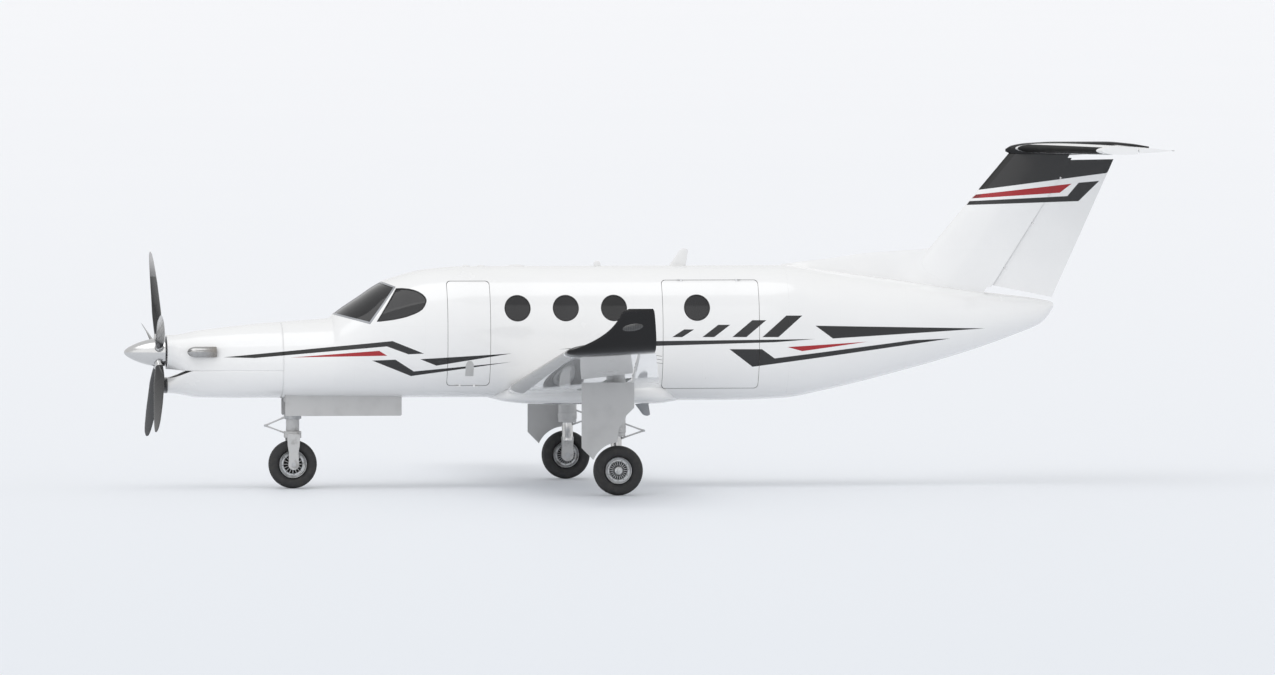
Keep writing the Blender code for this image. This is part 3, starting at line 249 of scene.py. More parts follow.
# Fuselage skin.
# Aluminium sheet riveted over frames, filled, sanded and sprayed gloss white, with the stripes laid
# on in charcoal and red. The cabin's tube has its doors, windows and nose wheel bay cut out of it.
def curve(*points):
    """A function through (station, value) points: a cubic between each two, without overshoot."""
    xs, ys = np.array(points).T
    steps = np.diff(xs)
    slopes = np.diff(ys) / steps
    same = slopes[:-1] * slopes[1:] > 0
    mean = 2 * slopes[:-1] * slopes[1:] / np.where(same, slopes[:-1] + slopes[1:], 1.0)
    ends = np.concatenate([slopes[:1], np.where(same, mean, 0.0), slopes[-1:]])

    def value(x):
        x = np.clip(x, xs[0], xs[-1])
        i = np.minimum(np.searchsorted(xs, x, side="right") - 1, len(steps) - 1)
        t = (x - xs[i]) / steps[i]
        level = ys[i] * (1 + 2 * t) * (1 - t) ** 2 + ys[i + 1] * t * t * (3 - 2 * t)
        return level + steps[i] * (ends[i] * t * (1 - t) ** 2 - ends[i + 1] * t * t * (1 - t))

    return value


top_line = curve(
    (0.605, 2.207), (1.069, 2.270), (1.794, 2.354), (2.519, 2.409), (2.954, 2.444), (3.020, 2.512),
    (3.350, 2.740), (3.679, 2.950), (3.969, 3.050), (4.330, 3.135), (4.900, 3.180), (9.500, 3.180),
    (10.130, 3.110), (11.218, 2.970), (12.333, 2.803), (13.402, 2.656), (13.453, 2.630),
)
keel_line = curve(
    (0.605, 1.370), (0.800, 1.333), (1.070, 1.312), (1.650, 1.298), (5.200, 1.300), (7.600, 1.242),
    (8.600, 1.242), (9.500, 1.269), (10.130, 1.383), (11.218, 1.649), (12.240, 1.942),
    (12.962, 2.198), (13.245, 2.317), (13.371, 2.425), (13.453, 2.560),
)
half_width = curve(
    (0.605, 0.300), (1.070, 0.375), (1.800, 0.510), (2.250, 0.585), (2.954, 0.690), (3.600, 0.780),
    (4.300, 0.850), (4.900, 0.880), (9.200, 0.880), (9.900, 0.850), (10.600, 0.760), (11.400, 0.620),
    (12.200, 0.460), (12.900, 0.290), (13.300, 0.150), (13.453, 0.060),
)
squareness = curve((0.605, 2.2), (2.954, 2.3), (4.300, 2.6), (9.200, 2.6), (11.000, 2.2), (13.453, 2.0))


def tube(station):
    """The section at a station as (half width, top, bottom, waist, power)."""
    top, keel = top_line(station), keel_line(station)
    return half_width(station), top, keel, keel + 0.47 * (top - keel), squareness(station)


def lobe(front):
    """The sections of the cowl's upper lobe or chin: round in front, the tube's from 0.45 m on."""

    def section(station):
        share = np.clip((station - 0.605) / 0.45, 0.0, 1.0)
        share = share * share * (3 - 2 * share)
        behind = tube(station)
        return tuple(a + (b - a) * share for a, b in zip(front, behind))

    return section


def ring_points(section, stations, angles, grow=0.0):
    """Superellipse rings: y and z are powers 2/p of sine and cosine, z by the part above or below the waist."""
    s = np.asarray(stations, float)[:, None] + 0 * angles
    width, top, keel, waist, power = section(s)
    y, z = np.sin(angles), np.cos(angles)
    y = (width + grow) * np.sign(y) * np.abs(y) ** (2 / power)
    rise = np.where(z > 0, top + grow - waist, waist - keel + grow)
    z = waist + rise * np.sign(z) * np.abs(z) ** (2 / power)
    return np.stack([s + NOSE, y, z], axis=-1)


def skin_normals(section, points):
    """Slopes of (|y|/width)^p + (|z-waist|/rise)^p at points on the skin, by central differences."""

    def level(p):
        width, top, keel, waist, power = section(p[:, 0] - NOSE)
        rise = np.where(p[:, 2] > waist, top - waist, waist - keel)
        return (np.abs(p[:, 1]) / width) ** power + (np.abs(p[:, 2] - waist) / rise) ** power

    steps = np.eye(3) * 1e-4
    slope = np.stack([level(points + d) - level(points - d) for d in steps], axis=-1)
    return slope / np.maximum(np.linalg.norm(slope, axis=1, keepdims=True), 1e-12), level(points)


def even_skin(item, section):
    """Gives each corner of the outer skin the normal of the true surface, and leaves the cut edges alone."""
    mesh = item.data
    count, corners = len(mesh.vertices), len(mesh.loops)
    points, verts = np.empty(count * 3), np.empty(corners, int)
    normals, flat = np.empty(corners * 3), np.empty(len(mesh.polygons) * 3)
    totals = np.empty(len(mesh.polygons), int)
    mesh.vertices.foreach_get("co", points)
    mesh.loops.foreach_get("vertex_index", verts)
    mesh.corner_normals.foreach_get("vector", normals)
    mesh.polygons.foreach_get("normal", flat)
    mesh.polygons.foreach_get("loop_total", totals)
    flat = np.repeat(flat.reshape(-1, 3), totals, axis=0)
    true, level = skin_normals(section, points.reshape(-1, 3))
    true, level = true[verts], level[verts]
    outer = ((true * flat).sum(axis=1) > 0.9) & (np.abs(level - 1) < 0.02)
    mesh.normals_split_custom_set(np.where(outer[:, None], true, normals.reshape(-1, 3)).tolist())


def prism(name, outline, near, far):
    """A closed outline of (station, height) points pushed through from one Y to another."""
    outline = np.asarray(outline, float)
    side = np.stack([outline[:, 0] + NOSE, 0 * outline[:, 0], outline[:, 1]], axis=-1)
    points = np.stack([side + (0, near, 0), side + (0, far, 0)])
    return piece_of(grid_mesh(name, points), name)


def carve(item, cutters, operation="DIFFERENCE"):
    """The item after Booleans with the cutters, which are then gone."""
    for cutter in cutters:
        step = item.modifiers.new("cut", "BOOLEAN")
        step.operation, step.object = operation, cutter
    graph = bpy.context.evaluated_depsgraph_get()
    mesh = bpy.data.meshes.new_from_object(item.evaluated_get(graph))
    item.modifiers.clear()
    item.data = mesh
    mesh.shade_smooth()
    mesh.set_sharp_from_angle(angle=math.radians(35))
    for cutter in cutters:
        bpy.data.objects.remove(cutter)
    return item


def disc_line(station, height, radius, count=48):
    """Points of a circle of (station, height)."""
    a = np.linspace(0, 2 * math.pi, count, endpoint=False)
    return np.stack([station + radius * np.cos(a), height + radius * np.sin(a)], axis=-1)


def round_line(left, right, low, high, radius, shrink=0.0, count=10):
    """Points of a rectangle with round corners: quarter circles about the four corner centres."""
    left, right, low, high = left + shrink, right - shrink, low + shrink, high - shrink
    a = np.linspace(0, math.pi / 2, count)
    rows = []
    for k, (cx, cz) in enumerate(
        ((right - radius, high - radius), (left + radius, high - radius), (left + radius, low + radius), (right - radius, low + radius))
    ):
        rows.append(np.stack([cx + radius * np.cos(a + k * math.pi / 2), cz + radius * np.sin(a + k * math.pi / 2)], axis=-1))
    return np.concatenate(rows)


def spread(outline, by):
    """An outline moved outwards from its middle by about the distance."""
    outline = np.asarray(outline, float)
    away = outline - outline.mean(axis=0)
    return outline + by * away / np.linalg.norm(away, axis=1, keepdims=True)


WHITE, CHARCOAL, RED = (0.83, 0.83, 0.83), (0.016, 0.016, 0.017), (0.36, 0.010, 0.016)
skin_paint = Paint("striped_gloss_paint", roughness=0.32, coat=1.0, coat_roughness=0.04)
dark = 0.0
for stripe in (
    ((1.388, 1.897), (3.783, 2.131), (3.703, 2.054), (1.831, 1.887)),
    ((3.783, 2.131), (4.233, 1.951), (4.011, 1.941), (3.703, 2.054)),
    ((3.494, 1.852), (3.825, 1.865), (4.092, 1.695), (4.055, 1.627)),
    ((4.092, 1.695), (5.488, 1.827), (4.055, 1.627)),
    ((4.177, 1.871), (5.488, 1.949), (4.412, 1.777)),
    ((6.163, 2.007), (7.556, 2.120), (7.556, 2.050)),
    ((7.556, 2.120), (9.873, 2.140), (9.297, 2.097), (7.556, 2.050)),
    ((9.879, 2.332), (12.408, 2.272), (10.136, 2.146)),
    ((8.631, 2.000), (9.103, 1.998), (9.287, 1.865), (8.970, 1.744)),
    ((9.287, 1.865), (11.332, 2.113), (11.895, 2.131), (8.970, 1.744)),
    ((7.803, 2.176), (7.977, 2.286), (8.122, 2.285), (7.948, 2.175)),
    ((8.238, 2.174), (8.470, 2.350), (8.644, 2.350), (8.412, 2.174)),
    ((8.673, 2.173), (8.963, 2.415), (9.166, 2.414), (8.876, 2.172)),
    ((9.108, 2.171), (9.457, 2.479), (9.690, 2.478), (9.341, 2.170)),
):
    dark = dark | skin_paint.inside(*stripe)
red = skin_paint.inside((2.335, 1.895), (3.593, 1.992), (3.710, 1.921))
red = red | skin_paint.inside((9.470, 2.027), (10.651, 2.096), (9.689, 1.967))
cloud = skin_paint.soft(skin_paint.noise(0.8, 5.0), 0.35, 0.75)
# Painted shade: under turns the white greyer low on the skin, from 1.75 m down to 1.25 m and below; cloud is random
# tone.
under = skin_paint.soft(skin_paint.z * -1.0, -1.75, -1.25)
white = skin_paint.mix(cloud * 0.25 + under * 0.25, WHITE, (0.74, 0.745, 0.75))
frames = skin_paint.node("ShaderNodeMath", {"operation": "PINGPONG"}, skin_paint.x + 0.18, 0.5) < 0.0018
laps = skin_paint.node("ShaderNodeMath", {"operation": "PINGPONG"}, skin_paint.z - 1.42, 0.46) < 0.0016
seams = (frames | laps) * (skin_paint.x > -5.18)
white = skin_paint.mix(seams * 0.07, white, (0.45, 0.45, 0.45))
black = skin_paint.soft(skin_paint.x, -5.2, -3.8)
colour = skin_paint.mix(dark, white, skin_paint.mix(black, (0.003, 0.003, 0.003), CHARCOAL))
skin_paint.put(Base_Color=skin_paint.mix(red, colour, RED), Roughness=cloud * 0.06 + 0.22)
skin_paint.put(Coat_Weight=1.0 - (dark | red) * 0.9)
skin_paint.bump(skin_paint.noise(7.0, 2.0) - seams * 0.3, 0.06, 0.0010)

ANGLES = np.linspace(0, 2 * math.pi, 192, endpoint=False)
ENTRY, CARGO = (4.570, 5.190, 1.483, 2.985, 0.055), (7.670, 9.070, 1.430, 2.990, 0.055)
WINDOW_Z, WINDOW_RADIUS = 2.595, 0.189
LEFT_WINDOWS, RIGHT_WINDOWS = (5.577, 6.273, 6.968), (4.880, 5.577, 6.273, 6.968, 8.167)
WINDSCREEN = ((2.985, 2.500), (3.470, 2.370), (3.860, 2.900), (3.679, 2.975), (3.500, 3.150), (2.800, 2.600))
SIDE_WINDOW = (
    (3.560, 2.405), (3.710, 2.645), (3.860, 2.880), (3.945, 2.884), (4.040, 2.876), (4.110, 2.860),
    (4.170, 2.836), (4.225, 2.800), (4.262, 2.760), (4.277, 2.724), (4.275, 2.690), (4.252, 2.632),
    (4.215, 2.580), (4.155, 2.540), (4.090, 2.510), (3.985, 2.472), (3.880, 2.447), (3.790, 2.430),
    (3.700, 2.418), (3.620, 2.408),
)


def hull_between(name, start, stop, grow=0.0, pitch=0.04, angles=ANGLES):
    """A closed length of the tube, with rings about a pitch apart."""
    stations = np.linspace(start, stop, max(2, round((stop - start) / pitch)))
    return piece_of(grid_mesh(name, ring_points(tube, stations, angles, grow)), name)


def hull_room(name, grow, start, stop, bed=None):
    """The space inside the tube as a cutter, flat at the bed where one is given."""
    points = ring_points(tube, np.linspace(start, stop, 60), ANGLES[::3], grow)
    if bed:
        points[..., 2] = np.maximum(points[..., 2], bed)
    return piece_of(grid_mesh(name, points), name)


def crate(name, low, high):
    """A box between two corners, as a cutter or a plain block that gets its bevel later."""
    made = bmesh.new()
    bmesh.ops.create_cube(made, size=1.0)
    low, high = np.array(low, float), np.array(high, float)
    scale = Matrix.Diagonal((*(high - low), 1.0))
    bmesh.ops.transform(made, matrix=Matrix.Translation((low + high) / 2) @ scale, verts=made.verts)
    mesh = bpy.data.meshes.new(name)
    made.to_mesh(mesh)
    made.free()
    return piece_of(mesh, name)


cabin = hull_between("cabin_skin", 2.2501, 9.500)
carve(cabin, [hull_room("room", -0.080, 3.020, 9.420, 1.580)])
holes = [crate("nose_bay", (2.290 + NOSE, -0.300, 0.9), (3.970 + NOSE, 0.300, 1.545))]
holes.append(prism("screen_hole", WINDSCREEN, -1.0, 1.0))
for side in (-1, 1):
    holes.append(prism("side_hole", SIDE_WINDOW, side * 0.2, side * 1.2))
holes += [prism("window_hole", disc_line(s, WINDOW_Z, WINDOW_RADIUS), 0.3, 1.2) for s in RIGHT_WINDOWS]
holes += [prism("window_hole", disc_line(s, WINDOW_Z, WINDOW_RADIUS), -0.3, -1.2) for s in LEFT_WINDOWS]
holes += [prism("door_hole", round_line(*door), -0.2, -1.2) for door in (ENTRY, CARGO)]
carve(cabin, holes)
even_skin(cabin, tube)
cabin.data.materials.clear()
cabin.data.materials.append(skin_paint.material)
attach(cabin, "airframe")
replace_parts(cabin, "cabin_shell")

cone = hull_between("tail_cone_skin", 9.5004, 13.453, pitch=0.03)
even_skin(cone, tube)
cone.data.materials.append(skin_paint.material)
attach(cone, "airframe")
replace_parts(cone, "tail_cone")

belly_low = curve(
    (5.230, 1.298), (5.450, 1.240), (5.800, 1.205), (6.200, 1.197), (7.600, 1.197), (7.850, 1.222),
    (8.060, 1.262),
)
belly_high = curve((5.230, 1.310), (5.450, 1.450), (5.800, 1.560), (7.300, 1.570), (7.700, 1.500), (8.060, 1.290))
belly_half = curve(
    (5.230, 0.120), (5.450, 0.700), (5.800, 0.940), (6.400, 0.995), (7.200, 0.960), (7.700, 0.700),
    (8.060, 0.120),
)


def belly_tube(station):
    """The belly fairing's section, in the same terms as the tube's."""
    low, high = belly_low(station), belly_high(station)
    return belly_half(station), high, low, 0.55 * low + 0.45 * high, 3.0 + 0 * station


fairing_line = 5.235 + 2.82 * (1 - np.cos(np.linspace(0, math.pi, 90))) / 2
fairing = piece_of(grid_mesh("belly_fairing_skin", ring_points(belly_tube, fairing_line, ANGLES)), "belly_fairing_skin")
even_skin(fairing, belly_tube)
fairing.data.materials.append(skin_paint.material)
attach(fairing, "airframe")
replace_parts(fairing, "belly_fairing")


# Engine cowl.
# Two carbon-fibre half shells latched along a seam below the exhausts, painted with the fuselage.
# The upper one ends in a round lobe behind the spinner, the lower one in the chin intake.
def cowl_half(name, section, chin):
    """Open rings of one lobe from seam to seam: the seam's angle is the arc cosine of its height."""
    stations = np.concatenate([np.linspace(0.605, 1.10, 40), np.linspace(1.12, 2.2499, 36)])
    width, top, keel, waist, power = section(stations)
    share = np.clip((stations - 0.605) / 0.45, 0.0, 1.0)
    share = share * share * (3 - 2 * share)
    front, behind = (1.594, 1.712) if chin else (1.720, 1.688)
    seam = front + (behind - front) * share
    seam = np.minimum(seam, 1.6997) if chin else np.maximum(seam, 1.7003)
    above = seam > waist
    rise = np.where(above, top - waist, waist - keel)
    corner = np.arccos(np.minimum(1.0, np.abs(seam - waist) / rise) ** (power / 2))
    half = np.where(above, corner, math.pi - corner)[:, None]
    t = np.linspace(0, 1, 120)
    angles = half + (2 * math.pi - 2 * half) * t if chin else -half + 2 * half * t
    mesh = grid_mesh(name, ring_points(section, stations, angles), around=False)
    item = piece_of(mesh, name, skin_paint.material, outward=False)
    wall = item.modifiers.new("wall", "SOLIDIFY")
    wall.thickness, wall.offset = 0.018, -1.0
    middle = mesh.polygons[len(mesh.polygons) // 2 + 60]
    if middle.normal.dot(middle.center - Vector((middle.center.x, 0, 1.5 if chin else 1.96))) < 0:
        mesh.flip_normals()
    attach(item, "airframe")
    return item


upper_lobe, chin_lobe = lobe((0.247, 2.207, 1.713, 1.960, 2.0)), lobe((0.262, 1.600, 1.370, 1.487, 2.0))
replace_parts(cowl_half("cowl_upper_skin", upper_lobe, False), "cowl_upper")
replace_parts(cowl_half("cowl_lower_skin", chin_lobe, True), "cowl_lower")

# Cabin lining.
# Pale foam-backed panels glued to the frames, which is what shows of the tube's inner side.
lining = Paint("foam_backed_lining", roughness=0.85)
lining.put(Base_Color=lining.grime((0.62, 0.58, 0.52), (0.52, 0.48, 0.42), 1.5))
lining.bump(lining.noise(160.0, 2.0), 0.25, 0.0006)


def line_inside(item, section, paint):
    """Gives the faces below the skin, where the section's level is under 0.97, the lining."""
    mesh = item.data
    centres = np.empty(len(mesh.polygons) * 3)
    mesh.polygons.foreach_get("center", centres)
    level = skin_normals(section, centres.reshape(-1, 3))[1]
    mesh.materials.append(paint)
    mesh.polygons.foreach_set("material_index", (level < 0.97).astype(np.int32))
    mesh.update()


line_inside(cabin, tube, lining.material)


# Windows.
# Stretched acrylic panes, tinted, clamped by grey painted frames from inside and sealed with a black
# rubber lip. The windscreen has a slim post in the middle.
def skin_y(section, station, z, grow=0.0):
    """Half of the width at a height: width times (1 - (|z - waist| / rise)^p)^(1/p)."""
    width, top, keel, waist, power = section(station)
    rise = np.where(z > waist, top + grow - waist, waist - keel + grow)
    inside = np.maximum(1e-9, 1 - (np.abs(z - waist) / rise) ** power)
    return (width + grow) * inside ** (1 / power)


def dense(outline, step=0.015):
    """The outline with points a step apart along its edges."""
    outline = np.asarray(outline, float)
    loop = np.vstack([outline, outline[:1]])
    run = np.concatenate([[0.0], np.cumsum(np.linalg.norm(np.diff(loop, axis=0), axis=1))])
    even = np.linspace(0, run[-1], max(24, int(run[-1] / step)), endpoint=False)
    return np.stack([np.interp(even, run, loop[:, i]) for i in (0, 1)], axis=-1)


def skin_patch(name, outline, outer, inner, side, paint, hole=None, rows=7, section=tube):
    """A plate of skin between two depths: points go from a middle, or from a hole's edge, to the outline."""
    outline = dense(outline)
    start = outline.mean(axis=0) + 0 * outline if hole is None else hole(outline)
    t = np.linspace(0, 1, rows)[:, None, None]
    flat = start + (outline - start) * t
    layers = []
    for grow, order in ((outer, 1), (inner, -1)):
        y = side * skin_y(section, flat[..., 0], flat[..., 1], grow)
        layers.append(np.stack([flat[..., 0] + NOSE, y, flat[..., 1]], axis=-1)[::order])
    mesh = grid_mesh(name, np.concatenate(layers), ends=False, lengthwise=hole is not None)
    return piece_of(mesh, name, paint)


acrylic = Paint("tinted_acrylic", roughness=0.04, coat=0.4, coat_roughness=0.02)
acrylic.put(Specular_IOR_Level=0.35)
acrylic.put(Base_Color=acrylic.mix(acrylic.soft(acrylic.noise(1.5), 0.3, 0.7), (0.012, 0.012, 0.013), (0.022, 0.022, 0.024)))
acrylic.put(Alpha=0.88)
frame_grey = Paint("window_frame_grey", roughness=0.35, metallic=0.3, coat=0.4)
frame_grey.put(Base_Color=frame_grey.grime((0.30, 0.31, 0.33), (0.22, 0.22, 0.23), 4.0))
frame_grey.bump(frame_grey.noise(90.0), 0.12, 0.0004)
seal = Paint("black_rubber_seal", roughness=0.7)
seal.put(Base_Color=seal.grime((0.018, 0.018, 0.019), (0.05, 0.05, 0.05), 8.0))
seal.bump(seal.noise(220.0), 0.3, 0.0005)


def screen_part(name, outer, inner, outline, paint, post=False):
    """The part of the tube between two depths within an outline, or its strip along the middle."""
    part = hull_between(name, 2.85, 4.05, outer, 0.02)
    carve(part, [hull_room("under", inner, 2.80, 4.10)])
    carve(part, [prism("outline", outline, -1.0, 1.0)], "INTERSECT")
    if post:
        carve(part, [crate("post", (2.8 + NOSE, -0.017, 2.3), (4.1 + NOSE, 0.017, 3.2))], "INTERSECT")
    part.data.materials.clear()
    part.data.materials.append(paint)
    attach(part, "airframe")
    return part


pane = screen_part("windscreen_pane", -0.006, -0.020, spread(WINDSCREEN, -0.012), acrylic.material)
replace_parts(pane, "windshield")
edge = screen_part("windscreen_frame", -0.0012, -0.022, WINDSCREEN, frame_grey.material)
carve(edge, [prism("clear", spread(WINDSCREEN, -0.036), -1.0, 1.0)])
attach(edge, "airframe")
screen_part("windscreen_post", -0.0012, -0.026, spread(WINDSCREEN, -0.030), frame_grey.material, post=True)

for side, word, stations in ((-1, "left", LEFT_WINDOWS), (1, "right", RIGHT_WINDOWS)):
    pane = skin_patch(f"side_pane_{word}", spread(SIDE_WINDOW, -0.012), -0.006, -0.018, side, acrylic.material)
    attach(pane, "airframe")
    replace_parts(pane, f"cockpit_side_window_{word}")
    inward = lambda outline: spread(outline, -0.016)
    rim = skin_patch(f"side_frame_{word}", spread(SIDE_WINDOW, -0.001), -0.001, -0.022, side, seal.material, inward)
    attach(rim, "airframe")
    for number, station in enumerate(stations, 1):
        for kind, radius, width, outer, inner, paint in (
            ("pane", 0.1780, None, -0.007, -0.014, acrylic),
            ("seal", 0.1884, 0.0125, -0.0006, -0.015, seal),
            ("reveal", 0.1876, 0.012, -0.0152, -0.0808, lining),
        ):
            hole = None if width is None else (lambda outline, by=width: spread(outline, -by))
            line = disc_line(station, WINDOW_Z, radius)
            part = skin_patch(f"window_{kind}_{word}_{number}", line, outer, inner, side, paint.material, hole)
            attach(part, "airframe")
            if kind == "pane" and number == 1:
                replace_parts(part, f"cabin_windows_{word}")
    belt_line = round_line(stations[0] - 0.26, stations[-1] + 0.26, WINDOW_Z - 0.235, WINDOW_Z + 0.235, 0.10)
    belt = skin_patch(f"window_belt_{word}", belt_line, -0.0812, -0.089, side, lining.material, rows=24)
    carve(belt, [prism("bore", disc_line(s, WINDOW_Z, 0.176), side * 0.3, side * 1.2) for s in stations])
    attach(belt, "airframe")


# Side doors.
# The front door folds down on a sill hinge and carries its steps, the rear one lifts on a header
# hinge. Both are sheet skins over frames, with a rubber seal in the gap and a lining inside.
def barrel(name, start, end, radius, paint, body, sides=28):
    """A round pin from one point to another with a chamfer at both ends."""
    start, end = np.array(start, float), np.array(end, float)
    length = np.linalg.norm(end - start)
    chamfer = min(0.15 * radius, 0.2 * length)
    profile = ((0.0, 0.0), (radius - chamfer, 0.0), (radius, chamfer), (radius, length - chamfer), (radius - chamfer, length), (0.0, length))
    item = turned(name, profile, start, end - start, paint, sides)
    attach(item, body)
    return item


def turned(name, profile, centre, axis, paint, sides=64, angle=35, loop=False):
    """A (radius, height) profile turned about an axis through the centre, heights along the axis."""
    profile = np.asarray(profile, float)
    a = np.linspace(0, 2 * math.pi, sides, endpoint=False)
    radius, height = profile[:, :1], profile[:, 1:]
    points = np.stack([radius * np.cos(a), radius * np.sin(a), height + 0 * a], axis=-1)
    frame_of = np.array(Vector(axis).to_track_quat("Z", "Y").to_matrix())
    mesh = grid_mesh(name, points @ frame_of.T + np.array(centre), ends=False, lengthwise=loop)
    return piece_of(mesh, name, paint, angle)


lug_metal = Paint("anodised_lug", roughness=0.4, metallic=0.8)
lug_metal.put(Base_Color=lug_metal.grime((0.50, 0.51, 0.52), (0.30, 0.30, 0.31), 9.0))
lug_metal.bump(lug_metal.noise(120.0), 0.15, 0.0004)
for word, node, body, door, top, lugs in (
    ("entry", "entry_door", "front_door", ENTRY, False, (4.700, 4.7405, 4.9495, 4.990)),
    ("cargo", "cargo_door", "rear_door", CARGO, True, (7.900, 7.9405, 8.7395, 8.780)),
):
    leaf = skin_patch(f"{word}_door_skin", round_line(*door, shrink=0.006), 0.0, -0.045, -1, skin_paint.material, rows=60)
    inside_of = skin_patch(f"{word}_door_lining", round_line(*door, shrink=0.030), -0.0455, -0.0695, -1, lining.material, rows=30)
    lip = skin_patch(
        f"{word}_door_seal", round_line(*door, shrink=0.0008), -0.012, -0.060, -1, seal.material,
        lambda outline: spread(outline, -0.0042),
    )
    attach(lip, "airframe")
    if top:
        for part, radius in ((leaf, WINDOW_RADIUS), (inside_of, 0.186)):
            carve(part, [prism("window_hole", disc_line(8.167, WINDOW_Z, radius), -0.3, -1.2)])
            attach(part, body)
    even_skin(leaf, tube)
    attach(leaf, body)
    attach(inside_of, body)
    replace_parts(leaf, node)
    middle, edge = (door[0] + door[1]) / 2, door[3] if top else door[2]
    axis_y = -(float(skin_y(tube, np.float64(middle), np.float64(edge))) + 0.022)
    axis_z = edge + (0.0085 if top else -0.0085)
    for k, station in enumerate(lugs):
        holder = body if k in (1, 2) else "airframe"
        x = station + NOSE
        barrel(f"{word}_hinge_{k}", (x + 0.001, axis_y, axis_z), (x + 0.039, axis_y, axis_z), 0.008, skin_paint.material, holder)
        lift = (0.0, 0.064 if not top else -0.064)[k in (1, 2)]
        low = (x + 0.006, axis_y - 0.002, min(axis_z, axis_z + lift) - (0.0 if lift else 0.004))
        high = (x + 0.034, axis_y + (0.010 if lift else 0.040), max(axis_z, axis_z + lift) + (0.0 if lift else 0.004))
        arm = crate(f"{word}_hinge_arm_{k}", low, high)
        arm.data.materials.append(skin_paint.material)
        rounding = arm.modifiers.new("rounding", "BEVEL")
        rounding.width, rounding.segments = 0.0015, 2
        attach(arm, holder)
for kind, radius, width, outer, inner, paint in (
    ("pane", 0.1780, None, -0.007, -0.014, acrylic),
    ("seal", 0.1884, 0.0125, -0.0006, -0.015, seal),
):
    hole = None if width is None else (lambda outline, by=width: spread(outline, -by))
    part = skin_patch(f"cargo_window_{kind}", disc_line(8.167, WINDOW_Z, radius), outer, inner, -1, paint.material, hole)
    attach(part, "rear_door")
    if kind == "pane":
        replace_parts(part, "cargo_door_window")
latch_grey = Paint("latch_plate_grey", roughness=0.4, coat=0.3)
latch_grey.put(Base_Color=latch_grey.grime((0.50, 0.50, 0.50), (0.40, 0.40, 0.40), 9.0))
latch_grey.bump(latch_grey.noise(90.0), 0.12, 0.0004)
latch = ((4.832, 1.625), (4.948, 1.625), (4.948, 1.790), (4.918, 1.842), (4.862, 1.842), (4.832, 1.790))
part = skin_patch("entry_latch_plate", latch, 0.0035, -0.002, -1, latch_grey.material, rows=5)
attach(part, "front_door")
grip = ((4.852, 1.655), (4.928, 1.655), (4.928, 1.700), (4.852, 1.700))
part = skin_patch("entry_latch_handle", grip, 0.0085, 0.001, -1, latch_grey.material, rows=4)
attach(part, "front_door")
grip = ((8.30, 1.565), (8.46, 1.565), (8.46, 1.600), (8.30, 1.600))
part = skin_patch("cargo_latch_handle", grip, 0.006, -0.002, -1, skin_paint.material, rows=4)
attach(part, "rear_door")
step_metal = Paint("step_tread_metal", roughness=0.55, metallic=0.6)
grit = step_metal.node("ShaderNodeTexVoronoi", {}, step_metal.place, Scale=260.0)
step_metal.put(Base_Color=step_metal.grime((0.42, 0.43, 0.44), (0.20, 0.20, 0.20), 5.0))
step_metal.bump(grit, 0.5, 0.001)
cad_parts["entry_door_steps"].data.materials.clear()
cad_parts["entry_door_steps"].data.materials.append(step_metal.material)


# Propeller.
# Five carbon blades, grey towards their tips on the aft-facing faces only and lighter outwards, with polished cuffs;
# they turn in a steel hub under a spun, polished aluminium spinner.
AXLE = np.array([0.490 + NOSE, 0.0, 1.960])
blade_paint = Paint("blade_paint", roughness=0.30, coat=0.5, coat_roughness=0.1)
out_y, out_z = blade_paint.y, blade_paint.z - 1.960
square = out_y * out_y + out_z * out_z
radial = square.math("SQRT", square)
face = blade_paint.node("ShaderNodeAttribute", {"attribute_name": "rear"}, out=2)
# Only the aft-facing faces past 1.085 m get the grey, which lightens from 0.14 to 0.50 towards the tip.
tip = (radial > 1.085) * (face > 0.5)
worn = blade_paint.soft(blade_paint.noise(14.0, 6.0, (0.4, 1.0, 0.4)), 0.50, 0.72)
blade_black = blade_paint.mix(worn * 0.4, (0.008, 0.008, 0.009), (0.040, 0.040, 0.041))
fade = blade_paint.soft(radial, 1.05, 1.40)
tip_grey = blade_paint.mix(fade, (0.14, 0.14, 0.145), (0.50, 0.50, 0.51))
blade_paint.put(Base_Color=blade_paint.mix(tip, blade_black, tip_grey), Roughness=worn * 0.2 + 0.26)
blade_paint.bump(blade_paint.noise(30.0, 3.0), 0.10, 0.0006)
polished = Paint("polished_aluminium", roughness=0.16, metallic=1.0)
swirl = polished.noise(60.0, 4.0, (6.0, 1.0, 1.0))
polished.put(Base_Color=polished.mix(polished.soft(swirl, 0.3, 0.7), (0.66, 0.66, 0.66), (0.55, 0.55, 0.55)))
polished.put(Roughness=swirl * 0.16 + 0.08)
polished.bump(swirl, 0.05, 0.0003)

reach_points = (0.1201, 0.235, 0.36, 0.60, 0.95, 1.25, 1.40, 1.442)
chord_of = curve(*zip(reach_points, (0.090, 0.105, 0.150, 0.200, 0.205, 0.170, 0.110, 0.040)))
thick_of = curve(*zip(reach_points, (0.090, 0.092, 0.060, 0.030, 0.018, 0.012, 0.009, 0.005)))
pitch_of = curve(*zip(reach_points, (62.0, 60.0, 54.0, 45.0, 36.0, 31.0, 29.0, 28.0)))
rake_of = curve(*zip(reach_points, (0.0, 0.0, 0.004, 0.020, 0.050, 0.080, 0.097, 0.102)))
r = np.concatenate([np.linspace(0.1201, 1.38, 60), 1.38 + 0.062 * np.sin(np.linspace(0.1, math.pi / 2, 14))])[:, None]
a = np.linspace(0, 2 * math.pi, 48, endpoint=False)
pitch = np.radians(pitch_of(r))
along, off = 0.5 * chord_of(r) * np.cos(a), 0.5 * thick_of(r) * np.sin(a)
blade_grid = np.stack(
    [along * np.sin(pitch) + off * np.cos(pitch) - rake_of(r), along * np.cos(pitch) - off * np.sin(pitch), r + 0 * a],
    axis=-1,
)
